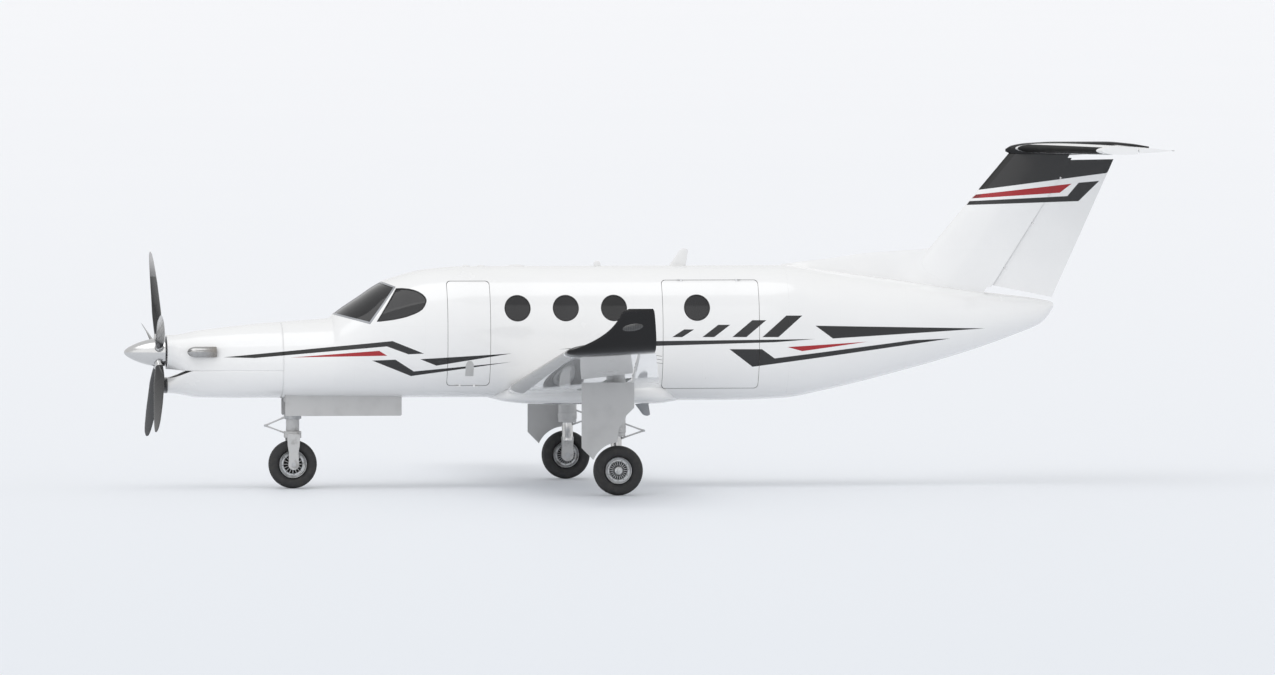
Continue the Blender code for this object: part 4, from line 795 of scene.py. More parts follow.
cuff_profile = ((0.052, 0.150), (0.0620, 0.160), (0.0625, 0.212), (0.0590, 0.222), (0.0560, 0.262), (0.0515, 0.268), (0.0400, 0.270))
shaft = (NOSE, 0.0, 1.960)
spinner_line = curve((0.0, 0.0), (0.035, 0.052), (0.1, 0.092), (0.2, 0.137), (0.3, 0.170), (0.4, 0.192), (0.5, 0.203), (0.58, 0.205))
run = 0.58 * (1 - np.cos(np.linspace(0, math.pi / 2, 60)))
outside = np.stack([np.where(run < 0.035, 0.052 * np.sqrt(run / 0.035), spinner_line(run)), run], axis=-1)
inner_wall = np.array([(0.194, 0.58), (0.190, 0.50), (0.178, 0.40), (0.155, 0.305), (0.120, 0.21), (0.062, 0.115), (0.0, 0.06)])
spinner = turned("spinner_shell", np.vstack([outside, inner_wall]), shaft, (1, 0, 0), None, 96)
cuffs = []
for i in range(5):
    lean = -math.radians(3.9) - 2 * math.pi * i / 5
    spin = np.array(Matrix.Rotation(lean, 3, "X"))
    item = piece_of(grid_mesh(f"blade_{i + 1}", blade_grid @ spin.T + AXLE), f"blade_{i + 1}", blade_paint.material)
    item.data.attributes.new("rear", "FLOAT", "POINT")
    normals = np.empty(len(item.data.vertices) * 3)
    item.data.vertices.foreach_get("normal", normals)
    behind = (normals.reshape(-1, 3)[:, 0] > 0.0).astype(np.float32)
    item.data.attributes["rear"].data.foreach_set("value", behind)
    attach(item, "propeller")
    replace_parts(item, f"prop_blade_{i + 1}")
    out = spin @ np.array([0.0, 0.0, 1.0])
    cuff = turned(f"blade_cuff_{i + 1}", cuff_profile, AXLE, out, polished.material, 40)
    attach(cuff, "propeller")
    cuffs.append(turned("cuff_hole", ((0.0, 0.12), (0.066, 0.12), (0.066, 0.30), (0.0, 0.30)), AXLE, out, None, 40))
carve(spinner, cuffs)
spinner.data.materials.clear()
spinner.data.materials.append(polished.material)
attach(spinner, "propeller")
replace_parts(spinner, "spinner")
cast = Paint("cast_engine_metal", roughness=0.5, metallic=0.85)
cast.put(Base_Color=cast.grime((0.33, 0.33, 0.34), (0.12, 0.11, 0.10), 6.0))
cast.bump(cast.noise(80.0, 5.0), 0.35, 0.0012)
for node in ("prop_hub", "engine_block"):
    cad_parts[node].data.materials.clear()
    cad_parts[node].data.materials.append(cast.material)


# Exhaust stacks and chin intake.
# The stacks are pressed stainless steel, straw-tinted by heat at their mouths. The intake's lip is a
# black heated ring in front of a duct painted near black, as shade.
burnt = Paint("heat_tinted_steel", roughness=0.22, metallic=1.0)
heat = burnt.soft(burnt.x, -6.36, -6.14)
tint = burnt.mix(heat, (0.42, 0.42, 0.42), (0.30, 0.28, 0.26))
burnt.put(Base_Color=burnt.mix(burnt.soft(burnt.noise(25.0, 5.0), 0.4, 0.8) * 0.4, tint, (0.24, 0.23, 0.22)))
burnt.put(Roughness=heat * 0.16 + 0.14)
burnt.bump(burnt.noise(40.0), 0.10, 0.0006)
# Soot for the exhaust throats; the same near-black also paints shade in the intake duct and the wheels' recesses.
soot_and_painted_shade = Paint("soot_and_painted_shade", roughness=0.95)
soot_and_painted_shade.put(Base_Color=soot_and_painted_shade.grime((0.012, 0.011, 0.011), (0.035, 0.032, 0.030), 12.0))
soot_and_painted_shade.bump(soot_and_painted_shade.noise(70.0), 0.4, 0.001)
for side, word in ((-1, "left"), (1, "right")):
    a = np.linspace(math.pi / 2, 0.0, 14)
    front = np.stack([0.077 * np.sin(a[::-1]), 1.000 - 0.129 * np.cos(a[::-1])], axis=-1)
    profile = np.vstack([front, [(0.077, 1.283), (0.0745, 1.290), (0.0690, 1.290), (0.0670, 1.284), (0.0655, 1.245), (0.0, 1.243)]])
    stack = turned(f"exhaust_stack_{word}", profile, (NOSE, side * 0.425, 1.973), (1, 0, 0), burnt.material)
    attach(stack, "airframe")
    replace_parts(stack, f"exhaust_{word}")
    throat = turned(f"exhaust_throat_{word}", ((0.0, 1.2435), (0.0650, 1.2440), (0.0648, 1.2800), (0.0640, 1.2800), (0.0630, 1.2480), (0.0, 1.2470)), (NOSE, side * 0.425, 1.973), (1, 0, 0), soot_and_painted_shade.material)
    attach(throat, "airframe")
lip_black = Paint("heated_lip_black", roughness=0.35, coat=0.4)
lip_black.put(Base_Color=lip_black.grime((0.022, 0.022, 0.024), (0.10, 0.10, 0.10), 10.0))
lip_black.bump(lip_black.noise(60.0), 0.12, 0.0004)
phi = np.linspace(0, math.pi, 24)[:, None]
a = np.linspace(0, 2 * math.pi, 120, endpoint=False)
s, c = np.sign(np.sin(a)) * np.abs(np.sin(a)) ** (2 / 2.3), np.sign(np.cos(a)) * np.abs(np.cos(a)) ** (2 / 2.3)
lip_half, lip_rise = 0.246 + 0.016 * np.cos(phi), 0.099 + 0.016 * np.cos(phi)
lip = np.stack([0.6044 - 0.052 * np.sin(phi) + 0 * s + NOSE, lip_half * s, 1.4865 + lip_rise * c], axis=-1)
item = piece_of(grid_mesh("intake_lip_ring", lip, ends=False, lengthwise=True), "intake_lip_ring", lip_black.material)
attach(item, "airframe")
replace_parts(item, "intake_lip")
# Painted shade: the duct and the disc closing its back are near black, standing for the shade inside the intake.
depth = np.array([0.606, 0.700, 0.900, 0.900, 0.700, 0.606])[:, None]
shrink = np.array([1.0, 0.94, 0.80, 0.79, 0.93, 0.985])[:, None]
duct = np.stack([depth + 0 * s + NOSE, 0.232 * shrink * s, 1.4865 + 0.085 * shrink * c], axis=-1)
item = piece_of(grid_mesh("intake_duct", duct, ends=False, lengthwise=True), "intake_duct", soot_and_painted_shade.material)
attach(item, "airframe")
back_of_duct = np.stack([np.array([0.885, 0.899])[:, None] + 0 * s + NOSE, 0.18 * s + 0 * depth[:2], 1.4865 + 0.066 * c + 0 * depth[:2]], axis=-1)
item = piece_of(grid_mesh("intake_screen", back_of_duct), "intake_screen", soot_and_painted_shade.material)
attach(item, "airframe")

# Wings.
# Riveted aluminium, sprayed gloss white, with wheel wells in the underside and rubber de-icing boots
# bonded along the leading edge in two lengths. The spar carries the hinge tongues of flap and aileron.
wing_paint = Paint("wing_gloss_white", roughness=0.30, coat=1.0, coat_roughness=0.04)
cloud = wing_paint.soft(wing_paint.noise(0.9, 5.0), 0.35, 0.75)
rib = wing_paint.node("ShaderNodeMath", {"operation": "PINGPONG"}, wing_paint.y, 0.31) < 0.0016
spar_line = wing_paint.node("ShaderNodeMath", {"operation": "PINGPONG"}, wing_paint.x + 0.1, 0.42) < 0.0014
seams = rib | spar_line
oil = wing_paint.soft(wing_paint.noise(3.0, 4.0, (0.25, 1.0, 1.0)), 0.55, 0.80)
white = wing_paint.mix(cloud * 0.3 + oil * 0.25, WHITE, (0.72, 0.725, 0.73))
wing_paint.put(Base_Color=wing_paint.mix(seams * 0.10, white, (0.42, 0.42, 0.42)), Roughness=cloud * 0.10 + 0.20)
wing_paint.bump(wing_paint.noise(6.0, 2.0) - seams * 0.4, 0.08, 0.0010)
boot_rubber = Paint("boot_rubber_grey", roughness=0.55, coat=0.15, coat_roughness=0.3)
tube_seams = boot_rubber.node("ShaderNodeMath", {"operation": "PINGPONG"}, boot_rubber.y, 0.075) < 0.002
boot_rubber.put(Base_Color=boot_rubber.mix(tube_seams * 0.4, boot_rubber.grime((0.44, 0.44, 0.44), (0.34, 0.34, 0.34), 3.0), (0.24, 0.24, 0.24)))
boot_rubber.bump(boot_rubber.noise(150.0, 2.0) - tube_seams, 0.22, 0.0008)
charcoal = Paint("charcoal_gloss_paint", roughness=0.25, coat=0.12, coat_roughness=0.05)
charcoal.put(Specular_IOR_Level=0.25)
cloud = charcoal.soft(charcoal.noise(1.6, 5.0), 0.35, 0.75)
charcoal.put(Base_Color=charcoal.mix(cloud * 0.5, (0.006, 0.006, 0.007), (0.012, 0.012, 0.013)), Roughness=cloud * 0.10 + 0.18)
charcoal.bump(charcoal.noise(8.0, 2.0), 0.08, 0.001)
boot_black = Paint("boot_rubber_black", roughness=0.7)
boot_black.put(Base_Color=boot_black.grime((0.012, 0.012, 0.012), (0.035, 0.035, 0.035), 3.0), Specular_IOR_Level=0.12)
boot_black.bump(boot_black.noise(150.0, 2.0), 0.15, 0.0006)
gear_bay = Paint("bay_primer", roughness=0.6)
gear_bay.put(Base_Color=gear_bay.grime((0.46, 0.48, 0.47), (0.25, 0.25, 0.24), 4.0))
gear_bay.bump(gear_bay.noise(50.0), 0.2, 0.0008)


def half_depth(x):
    """Half of a four-digit section's thickness at a fraction of its chord, for a thickness of 1."""
    return 5 * (0.2969 * np.sqrt(x) - 0.1260 * x - 0.3516 * x**2 + 0.2843 * x**3 - 0.1036 * x**4)


def mean_line(x, camber):
    """The camber line: two parabolas that meet at 40% of the chord."""
    return camber * (1 - ((x - 0.40) / np.where(x > 0.40, 0.60, 0.40)) ** 2)


def fixed_part(thickness, camber, stop, count=48):
    """Chord fractions and heights from the spar's top round the leading edge to its bottom."""
    x = stop * (1 - np.cos(np.linspace(0, math.pi / 2, count)))
    upper = np.stack([x, mean_line(x, camber) + thickness * half_depth(x)])
    lower = np.stack([x, mean_line(x, camber) - thickness * half_depth(x)])
    return np.concatenate([upper[:, ::-1], lower[:, 1:]], axis=1)


def moving_part(thickness, camber, nose, count=20):
    """Fractions and heights of a flap with a round nose, with the nose's centre."""
    centre = nose + thickness * half_depth(nose)
    radius = thickness * half_depth(centre)
    x = np.linspace(1.0, centre, count, endpoint=False)
    a = np.linspace(0, math.pi, 24)
    middle = mean_line(np.float64(centre), camber)
    round_nose = np.stack([centre - radius * np.sin(a), middle + radius * np.cos(a)])
    upper = np.stack([x, mean_line(x, camber) + thickness * half_depth(x)])
    lower = np.stack([x, mean_line(x, camber) - thickness * half_depth(x)])
    return np.concatenate([upper, round_nose, lower[:, :0:-1]], axis=1), (centre, float(middle))


def wing_place(y):
    """Leading edge station, height and chord at a distance from the middle, all linear in it."""
    share = (y - 0.95) / 6.95
    return 5.455 - 0.029 * share, 1.454 + 0.713 * share, 2.149 - 0.897 * share


def wing_grid(section, ys, side, grow=0.0):
    """The section laid out at each distance, its chord and depth scaled, thicker by grow."""
    lead, height, chord = (v[:, None] for v in wing_place(np.asarray(ys, float)))
    x = lead + chord * section[0]
    away = np.gradient(section, axis=1)
    away = np.stack([-away[1], away[0]]) / np.maximum(np.hypot(*away), 1e-9)
    return np.stack([x - grow * away[0] + NOSE, side * ys[:, None] + 0 * x, height + chord * section[1] - grow * away[1]], axis=-1)


def hinge_frame(start, end, forward=(-1.0, 0.0, 0.0)):
    """A frame on a hinge: X along it, Y forwards and Z up, at its start."""
    along = (Vector(end) - Vector(start)).normalized()
    across = (Vector(forward) - along * Vector(forward).dot(along)).normalized()
    return Matrix.Translation(start) @ Matrix((along, across, along.cross(across))).transposed().to_4x4()


def hinge_brackets(moving, start, end, shares, reach, paint):
    """Cuts the slots of a moving surface, and makes the fixed tongues that sit in them."""
    place = hinge_frame(start, end)
    length = (Vector(end) - Vector(start)).length
    slots = []
    for k, share in enumerate(shares):
        middle = share * length
        slot = crate("slot", (middle - 0.0157, -0.026, -0.2), (middle + 0.0157, 0.30, 0.2))
        slot.data.transform(place)
        slots.append(slot)
        tongue = crate(f"{moving.name}_bracket_{k}", (middle - 0.0148, -0.0118, -0.0108), (middle + 0.0148, reach, 0.0108))
        tongue.data.transform(place)
        tongue.data.materials.append(paint)
        rounding = tongue.modifiers.new("rounding", "BEVEL")
        rounding.width, rounding.segments = 0.003, 3
        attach(tongue, "airframe")
    carve(moving, slots)
    moving.data.materials.clear()


wing_section = fixed_part(0.135, 0.030, 0.795)
flap_section, (nose_x, nose_z) = moving_part(0.135, 0.030, 0.803)


def wing_hinge(y, side):
    """The point of the flap and aileron hinge line at a distance from the middle."""
    lead, height, chord = wing_place(y)
    return np.array([lead + chord * nose_x + NOSE, side * y, height + chord * nose_z])


for side, word in ((-1, "left"), (1, "right")):
    ys = np.linspace(0.50, 7.7446, 90)
    wing = piece_of(grid_mesh(f"wing_skin_{word}", wing_grid(wing_section, ys, side)), f"wing_skin_{word}")
    wells = []
    for low, high in (((6.555, 2.450, 1.20), (6.935, 3.230, 1.685)), ((6.555, 1.650, 1.20), (6.935, 2.500, 1.600))):
        y_low, y_high = sorted((side * low[1], side * high[1]))
        wells.append(crate("well", (low[0] + NOSE, y_low, low[2]), (high[0] + NOSE, y_high, high[2])))
    wells.append(turned("bay", ((0, 1.20), (0.36, 1.20), (0.36, 1.585), (0, 1.585)), (6.695 + NOSE, side * 1.620, 0), (0, 0, 1), None, 96))
    carve(wing, wells)
    wing.data.materials.clear()
    for paint in (wing_paint, gear_bay):
        wing.data.materials.append(paint.material)
    centres, flat = np.empty(len(wing.data.polygons) * 3), np.empty(len(wing.data.polygons) * 3)
    wing.data.polygons.foreach_get("center", centres)
    wing.data.polygons.foreach_get("normal", flat)
    centres, flat = centres.reshape(-1, 3), flat.reshape(-1, 3)
    lead, height, chord = wing_place(np.abs(centres[:, 1]))
    x = np.clip((centres[:, 0] - NOSE - lead) / chord, 0.0, 1.0)
    keel = height + chord * (mean_line(x, 0.030) - 0.135 * half_depth(x))
    in_well = (centres[:, 2] > keel + 0.004) & (flat[:, 2] < 0.3) & (x > 0.40) & (x < 0.78) & (np.abs(centres[:, 1]) < 3.4)
    wing.data.polygons.foreach_set("material_index", in_well.astype(np.int32))
    wing.data.update()
    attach(wing, "airframe")
    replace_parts(wing, f"wing_{word}")
    x = 0.085 * np.linspace(-1, 1, 41)
    boot_section = np.stack([x * x / 0.085, mean_line(x * x / 0.085, 0.030) - np.sign(x) * 0.135 * half_depth(x * x / 0.085)])
    for k, (inner, outer) in enumerate(((1.08, 3.742), (3.778, 7.60)), 1):
        ys = np.linspace(inner, outer, 40)
        outside, inside = wing_grid(boot_section, ys, side, 0.0018), wing_grid(boot_section, ys, side, -0.004)
        boot = grid_mesh(f"wing_boot_{word}_{k}", np.concatenate([outside, inside[:, ::-1]], axis=1))
        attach(piece_of(boot, f"wing_boot_{word}_{k}", boot_rubber.material, 50), "airframe")
    for kind, inner, outer, shares in (("flap", 1.060, 5.100, (0.10, 0.50, 0.90)), ("aileron", 5.116, 7.690, (0.12, 0.88))):
        start, end = wing_hinge(inner, side), wing_hinge(outer, side)
        axis = (end - start) / np.linalg.norm(end - start)
        share = np.linspace(0, 1, 40)[:, None]
        rings = []
        for y, hinge in ((inner, start), (outer, end)):
            lead, height, chord = wing_place(y)
            x, z = lead + chord * flap_section[0] + NOSE, height + chord * flap_section[1]
            slide = -(axis[0] * (x - hinge[0]) + axis[2] * (z - hinge[2])) / axis[1]
            rings.append(np.stack([x, hinge[1] + slide, z], axis=-1))
        panel = piece_of(grid_mesh(f"{kind}_skin_{word}", rings[0] + (rings[1] - rings[0]) * share[..., None]), f"{kind}_skin_{word}")
        hinge_brackets(panel, start, end, shares, 0.14, lug_metal.material)
        panel.data.materials.append(wing_paint.material)
        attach(panel, f"{kind}_body_{word}")
        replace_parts(panel, f"{kind}_{word}")
        if kind == "aileron":
            for k, y in enumerate((5.9, 6.6, 7.3)):
                lead, height, chord = wing_place(y)
                tail = np.array([lead + chord - 0.004 + NOSE, side * y, height])
                barrel(f"aileron_wick_{word}_{k}", tail, tail + (0.085, 0, -0.012), 0.0028, seal.material, f"aileron_body_{word}", 12)

# Winglets.
# Moulded tips in charcoal, with the section carried up round the corner and swept back. A clear
# lens over the position lamp is let into the outer face.
winglet_rows = np.array([
    (7.745, 2.1511, 5.4266, 6.6967, 0.0, 0.135), (7.930, 2.171, 5.432, 6.680, 9.0, 0.128),
    (8.020, 2.200, 5.500, 6.678, 28.0, 0.105), (8.095, 2.262, 5.640, 6.674, 52.0, 0.090),
    (8.145, 2.350, 5.810, 6.668, 68.0, 0.084), (8.185, 2.470, 5.980, 6.655, 76.0, 0.080),
    (8.2218, 2.600, 6.095, 6.640, 80.0, 0.080), (8.2452, 2.740, 6.180, 6.620, 82.0, 0.080),
    (8.2510, 2.778, 6.260, 6.600, 82.0, 0.020),
])
t = np.concatenate([np.linspace(0, 7, 84), 7 + np.sin(np.linspace(0.1, math.pi / 2, 12))])
y, z, lead, trail, lean, depth = (curve(*zip(range(9), column))(t)[:, None] for column in winglet_rows.T)
lean = np.radians(lean)
camber = 0.030 * np.clip((depth - 0.08) / 0.055, 0.0, 1.0)
x = 0.985 * (1 - np.cos(np.linspace(0, math.pi / 2, 40)))
x = np.concatenate([x[::-1], x[1:]])
sign = np.concatenate([np.ones(40), -np.ones(39)])
up = (trail - lead) * (mean_line(x, 1.0) * camber + sign * depth * half_depth(x))
position_glass = Paint("position_lamp_lens", roughness=0.05, coat=1.0, coat_roughness=0.02)
ribs = position_glass.node("ShaderNodeMath", {"operation": "PINGPONG"}, position_glass.x, 0.012)
position_glass.put(Base_Color=position_glass.mix(position_glass.soft(ribs, 0.002, 0.010), (0.010, 0.010, 0.011), (0.035, 0.035, 0.037)))
position_glass.bump(ribs, 0.3, 0.001)
for side, word in ((-1, "left"), (1, "right")):
    grid = np.stack([lead + (trail - lead) * x + NOSE, side * (y - up * np.sin(lean)), z + up * np.cos(lean)], axis=-1)
    item = piece_of(grid_mesh(f"winglet_skin_{word}", grid), f"winglet_skin_{word}", charcoal.material)
    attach(item, "airframe")
    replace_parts(item, f"winglet_{word}")
    u, v = np.meshgrid(np.linspace(0, 2 * math.pi, 48, endpoint=False), np.linspace(0, math.pi, 17))
    lens_grid = np.stack([
        6.318 + NOSE + 0.148 * np.sin(v) * np.cos(u),
        side * (8.214 + 0.16 * (0.055 * np.sin(v) * np.sin(u)) + 0.030 * np.cos(v)),
        2.522 + 0.055 * np.sin(v) * np.sin(u) + 0.02 * np.sin(v) * np.cos(u),
    ], axis=-1)
    item = piece_of(grid_mesh(f"position_lens_{word}", lens_grid, ends=False), f"position_lens_{word}", position_glass.material)
    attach(item, "airframe")


# Tail.
# A swept fin with a long dorsal fillet, and the stabilizer across its head under a charcoal bullet.
# Rudder and elevators turn on tongues of the rear spars. The stabilizer has a black boot in front.
fin_paint = Paint("striped_fin_paint", roughness=0.30, coat=1.0, coat_roughness=0.04)
dark = fin_paint.inside((12.372, 4.262), (14.236, 4.499), (14.845, 4.991), (12.670, 5.260))
dark = dark | fin_paint.inside((12.193, 4.044), (12.239, 4.100), (13.663, 4.169), (13.828, 4.095))
dark = dark | fin_paint.inside((13.663, 4.169), (13.828, 4.361), (14.134, 4.387), (13.828, 4.095))
red = fin_paint.inside((12.269, 4.138), (12.330, 4.194), (13.727, 4.348), (13.551, 4.217))
cloud = fin_paint.soft(fin_paint.noise(1.0, 5.0), 0.35, 0.75)
ribs = fin_paint.node("ShaderNodeMath", {"operation": "PINGPONG"}, fin_paint.z, 0.34) < 0.0016
white = fin_paint.mix(cloud * 0.3, WHITE, (0.74, 0.745, 0.75))
white = fin_paint.mix(ribs * 0.07, white, (0.42, 0.42, 0.42))
boot = fin_paint.inside((12.100, 4.050), (12.285, 4.050), (13.030, 4.930), (12.830, 4.930))
grey = fin_paint.mix(cloud * 0.4, CHARCOAL, (0.022, 0.022, 0.023))
colour = fin_paint.mix(dark, white, fin_paint.mix(boot, grey, (0.003, 0.003, 0.003)))
colour = fin_paint.mix(red, colour, fin_paint.mix(boot, RED, (0.20, 0.008, 0.010)))
fin_paint.put(Base_Color=colour, Roughness=cloud * 0.06 + 0.20, Coat_Weight=1.0 - (dark | red) * 0.9)
fin_paint.bump(fin_paint.noise(7.0, 2.0) - ribs * 0.3, 0.06, 0.0010)


def hinge_station(z):
    """The rudder's hinge line, which leans back with height."""
    return 12.525 + (z - 2.815) * 1.195 / 1.885


z = np.linspace(2.450, 4.900, 60)
lead, trail = 11.665 + 0.8457 * (z - 3.433), 13.412 + 0.4537 * (z - 2.649)
rows = []
for height, front, chord in zip(z, lead, trail - lead):
    x, up = fixed_part(0.090 + 0.010 * (height - 2.45) / 2.45, 0.0, (hinge_station(height) - 0.070 - front) / chord)
    rows.append(np.stack([front + chord * x + NOSE, chord * up, height + 0 * x], axis=-1))
fin = piece_of(grid_mesh("fin_skin", np.array(rows)), "fin_skin", fin_paint.material)
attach(fin, "airframe")
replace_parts(fin, "fin")
lip_z = np.linspace(2.860, 4.720, 50)[:, None]
front, chord = 11.665 + 0.8457 * (lip_z - 3.433), 13.412 + 0.4537 * (lip_z - 2.649)
chord = chord - front
x = hinge_station(lip_z) + np.linspace(-0.080, -0.008, 6)
depth = (0.090 + 0.010 * (lip_z - 2.45) / 2.45) * half_depth((x - front) / chord) * chord
for side, word in ((-1, "left"), (1, "right")):
    loop = np.concatenate([depth - 0.0004, (depth - 0.0040)[:, ::-1]], axis=1) * side
    along = np.concatenate([x, x[:, ::-1]], axis=1) + NOSE
    lip = grid_mesh(f"fin_lip_{word}", np.stack([along, loop, lip_z + 0 * along], axis=-1))
    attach(piece_of(lip, f"fin_lip_{word}", fin_paint.material, 50), "airframe")
stations = (9.502, 9.800, 10.196, 10.697, 11.070, 11.641, 11.900)
crest = curve(*zip(stations, (3.196, 3.238, 3.279, 3.352, 3.379, 3.422, 3.650)))
flank = curve(*zip(stations, (0.020, 0.045, 0.060, 0.070, 0.075, 0.085, 0.070)))
s = np.linspace(9.502, 11.900, 90)[:, None]
t = np.linspace(-1, 1, 41)
foot = top_line(s) - 0.10
rise = (1 - np.abs(t) ** 1.6) ** 0.9
dorsal = np.stack([s + NOSE + 0 * t, flank(s) * 1.7 * np.sign(t) * np.abs(t) ** 1.7, foot + (crest(s) - foot) * rise], axis=-1)
dorsal = piece_of(grid_mesh("dorsal_fillet", dorsal), "dorsal_fillet", fin_paint.material, 60)
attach(dorsal, "airframe")

a = np.linspace(0, math.pi, 24)
rings, ends = [], []
for z_hinge, z_trail, radius in ((2.885, 2.712, 0.0508), (4.690, 4.700, 0.0473)):
    hinge = np.array([hinge_station(z_hinge) + NOSE, 0.0, z_hinge])
    tail = np.array([13.412 + 0.4537 * (z_trail - 2.649) + NOSE, 0.0, z_trail])
    chord = np.linalg.norm(tail - hinge)
    aft = (tail - hinge) / chord
    t = np.linspace(0, 1, 24)[1:, None]
    thin = radius * (1 - 0.56 * t**2) * (1 - t) + (0.004 + radius * 0.38 * (1 - t)) * t
    side_wall = hinge + aft * chord * t
    across = np.array([0.0, 1.0, 0.0])
    nose = hinge - aft * radius * np.sin(a)[:, None] + across * radius * np.cos(a)[:, None]
    rings.append(np.concatenate([nose, side_wall - across * thin, (side_wall + across * thin)[::-1]]))
    ends.append(hinge)
share = np.linspace(0, 1, 40)[:, None, None]
rudder = piece_of(grid_mesh("rudder_skin", rings[0] + (rings[1] - rings[0]) * share), "rudder_skin")
hinge_brackets(rudder, ends[0], ends[1], (0.14, 0.50, 0.86), 0.14, lug_metal.material)
rudder.data.materials.append(fin_paint.material)
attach(rudder, "rudder_body")
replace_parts(rudder, "rudder")

y = np.linspace(-2.600, 2.600, 121)
share = np.abs(y) / 2.600
lead, trail = 12.870 + share * 0.895, 14.750 + share * 0.017
rows = []
for reach_out, part, front, chord in zip(y, share, lead, trail - lead):
    x, up = fixed_part(0.082 + 0.033 * part, 0.0, (14.335 - 0.066 + 0.014 * part - front) / chord)
    rows.append(np.stack([front + chord * x + NOSE, reach_out + 0 * x, 4.860 + chord * up], axis=-1))
stabilizer = piece_of(grid_mesh("stabilizer_skin", np.array(rows)), "stabilizer_skin", wing_paint.material)
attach(stabilizer, "airframe")
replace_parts(stabilizer, "stabilizer")
for side, word in ((-1, "left"), (1, "right")):
    y = np.linspace(0.150, 2.420, 60)
    share = y / 2.600
    lead, chord = 12.870 + share * 0.895, 1.880 - share * 0.878
    t = np.linspace(-1, 1, 33)
    x = 0.085 * t * t
    layers = []
    for grow in (0.0016, -0.004):
        depth = (0.082 + 0.033 * share)[:, None] * half_depth(x) + grow / chord[:, None]
        layers.append(np.stack([
            (lead - 1.2 * grow * (1 - 0.9))[:, None] + chord[:, None] * x - grow * (1 - np.abs(t)) + NOSE,
            side * y[:, None] + 0 * x,
            4.860 + chord[:, None] * -np.sign(t) * depth,
        ], axis=-1))
    boot = grid_mesh(f"tail_boot_{word}", np.concatenate([layers[0], layers[1][:, ::-1]], axis=1))
    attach(piece_of(boot, f"tail_boot_{word}", boot_black.material, 60), "airframe")
    rings = []
    for y_end, radius in ((0.140, 0.051), (2.595, 0.036)):
        axis_x, end = 14.335 + NOSE, 14.750 + 0.017 * y_end / 2.600 + NOSE
        t = np.linspace(0, 1, 20)[1:]
        thin = radius * (1 - 0.52 * t) * (1 - t**3) + 0.004 * t**3
        nose = np.stack([axis_x - radius * np.sin(a), radius * np.cos(a)])
        walls = np.stack([axis_x + (end - axis_x) * t, -thin])
        outline = np.concatenate([nose, walls, walls[:, ::-1] * np.array([[1], [-1]])], axis=1)
        rings.append(np.stack([outline[0], side * y_end + 0 * outline[0], 4.860 + outline[1]], axis=-1))
    share = np.linspace(0, 1, 40)[:, None, None]
    elevator = piece_of(grid_mesh(f"elevator_skin_{word}", rings[0] + (rings[1] - rings[0]) * share), f"elevator_skin_{word}")
    axis_x = 14.335 + NOSE
    hinge_brackets(elevator, (axis_x, side * 0.140, 4.860), (axis_x, side * 2.595, 4.860), (0.10, 0.50, 0.90), 0.12, lug_metal.material)
    elevator.data.materials.append(wing_paint.material)
    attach(elevator, "elevator_body")
    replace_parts(elevator, f"elevator_{word}")
    for k, reach_out in enumerate((1.2, 1.8, 2.4)):
        tail = np.array([14.755 + NOSE, side * reach_out, 4.860])
        barrel(f"elevator_wick_{word}_{k}", tail, tail + (0.085, 0, -0.006), 0.0028, seal.material, "elevator_body", 12)

bullet_rows = np.array([
    (12.762, 0.020, 4.850, 4.815), (12.850, 0.068, 4.900, 4.775), (13.050, 0.105, 4.935, 4.757),
    (13.500, 0.125, 4.9565, 4.757), (14.200, 0.115, 4.9565, 4.780), (14.600, 0.075, 4.925, 4.812),
    (14.859, 0.018, 4.882, 4.852),
])
s = np.concatenate([12.762 + 0.09 * (1 - np.cos(np.linspace(0, math.pi / 2, 16))), np.linspace(12.87, 14.859, 80)])[:, None]
half, high, low = (curve(*bullet_rows[:, (0, k)])(s) for k in (1, 2, 3))
a = np.linspace(0, 2 * math.pi, 72, endpoint=False)
c = np.sign(np.cos(a)) * np.abs(np.cos(a)) ** (2 / 2.3)
bullet = np.stack([s + NOSE + 0 * a, half * np.sign(np.sin(a)) * np.abs(np.sin(a)) ** (2 / 2.3), (high + low) / 2 + (high - low) / 2 * c], axis=-1)
bullet = piece_of(grid_mesh("bullet_skin", bullet), "bullet_skin", charcoal.material)
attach(bullet, "airframe")
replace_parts(bullet, "tail_bullet")

# Landing gear.
# Painted steel legs with polished pistons, forged forks and links, and machined wheels with balloon
# tyres. The doors are sheet panels on the legs and at the bay's edges.
gear_paint = Paint("gear_grey_paint", roughness=0.38, coat=0.3, coat_roughness=0.15)
dirt = gear_paint.soft(gear_paint.noise(9.0, 6.0), 0.50, 0.75)
low_down = gear_paint.soft(gear_paint.z * -1.0, -1.2, -0.3)
base = gear_paint.mix(dirt * (low_down * 0.5 + 0.3), (0.52, 0.52, 0.52), (0.24, 0.235, 0.23))
gear_paint.put(Base_Color=base, Roughness=dirt * 0.25 + 0.30)
gear_paint.bump(gear_paint.noise(45.0, 4.0), 0.16, 0.0008)
door_grey = Paint("gear_door_grey", roughness=0.42, coat=0.3, coat_roughness=0.2)
dirt = door_grey.soft(door_grey.noise(4.0, 6.0), 0.45, 0.75)
door_grey.put(Base_Color=door_grey.mix(dirt * 0.4, (0.50, 0.50, 0.50), (0.40, 0.40, 0.40)), Roughness=dirt * 0.2 + 0.35)
door_grey.bump(door_grey.noise(30.0, 4.0), 0.12, 0.0008)
machined = Paint("machined_wheel_metal", roughness=0.30, metallic=0.85)
rings_of = machined.noise(90.0, 2.0)
machined.put(Base_Color=machined.mix(machined.soft(machined.noise(12.0, 6.0), 0.45, 0.80), (0.56, 0.57, 0.58), (0.26, 0.25, 0.24)))
machined.put(Roughness=rings_of * 0.2 + 0.2)
machined.bump(rings_of, 0.15, 0.0005)
tyre_rubber = Paint("tyre_rubber", roughness=0.75)
dust = tyre_rubber.soft(tyre_rubber.noise(16.0, 6.0), 0.45, 0.75)
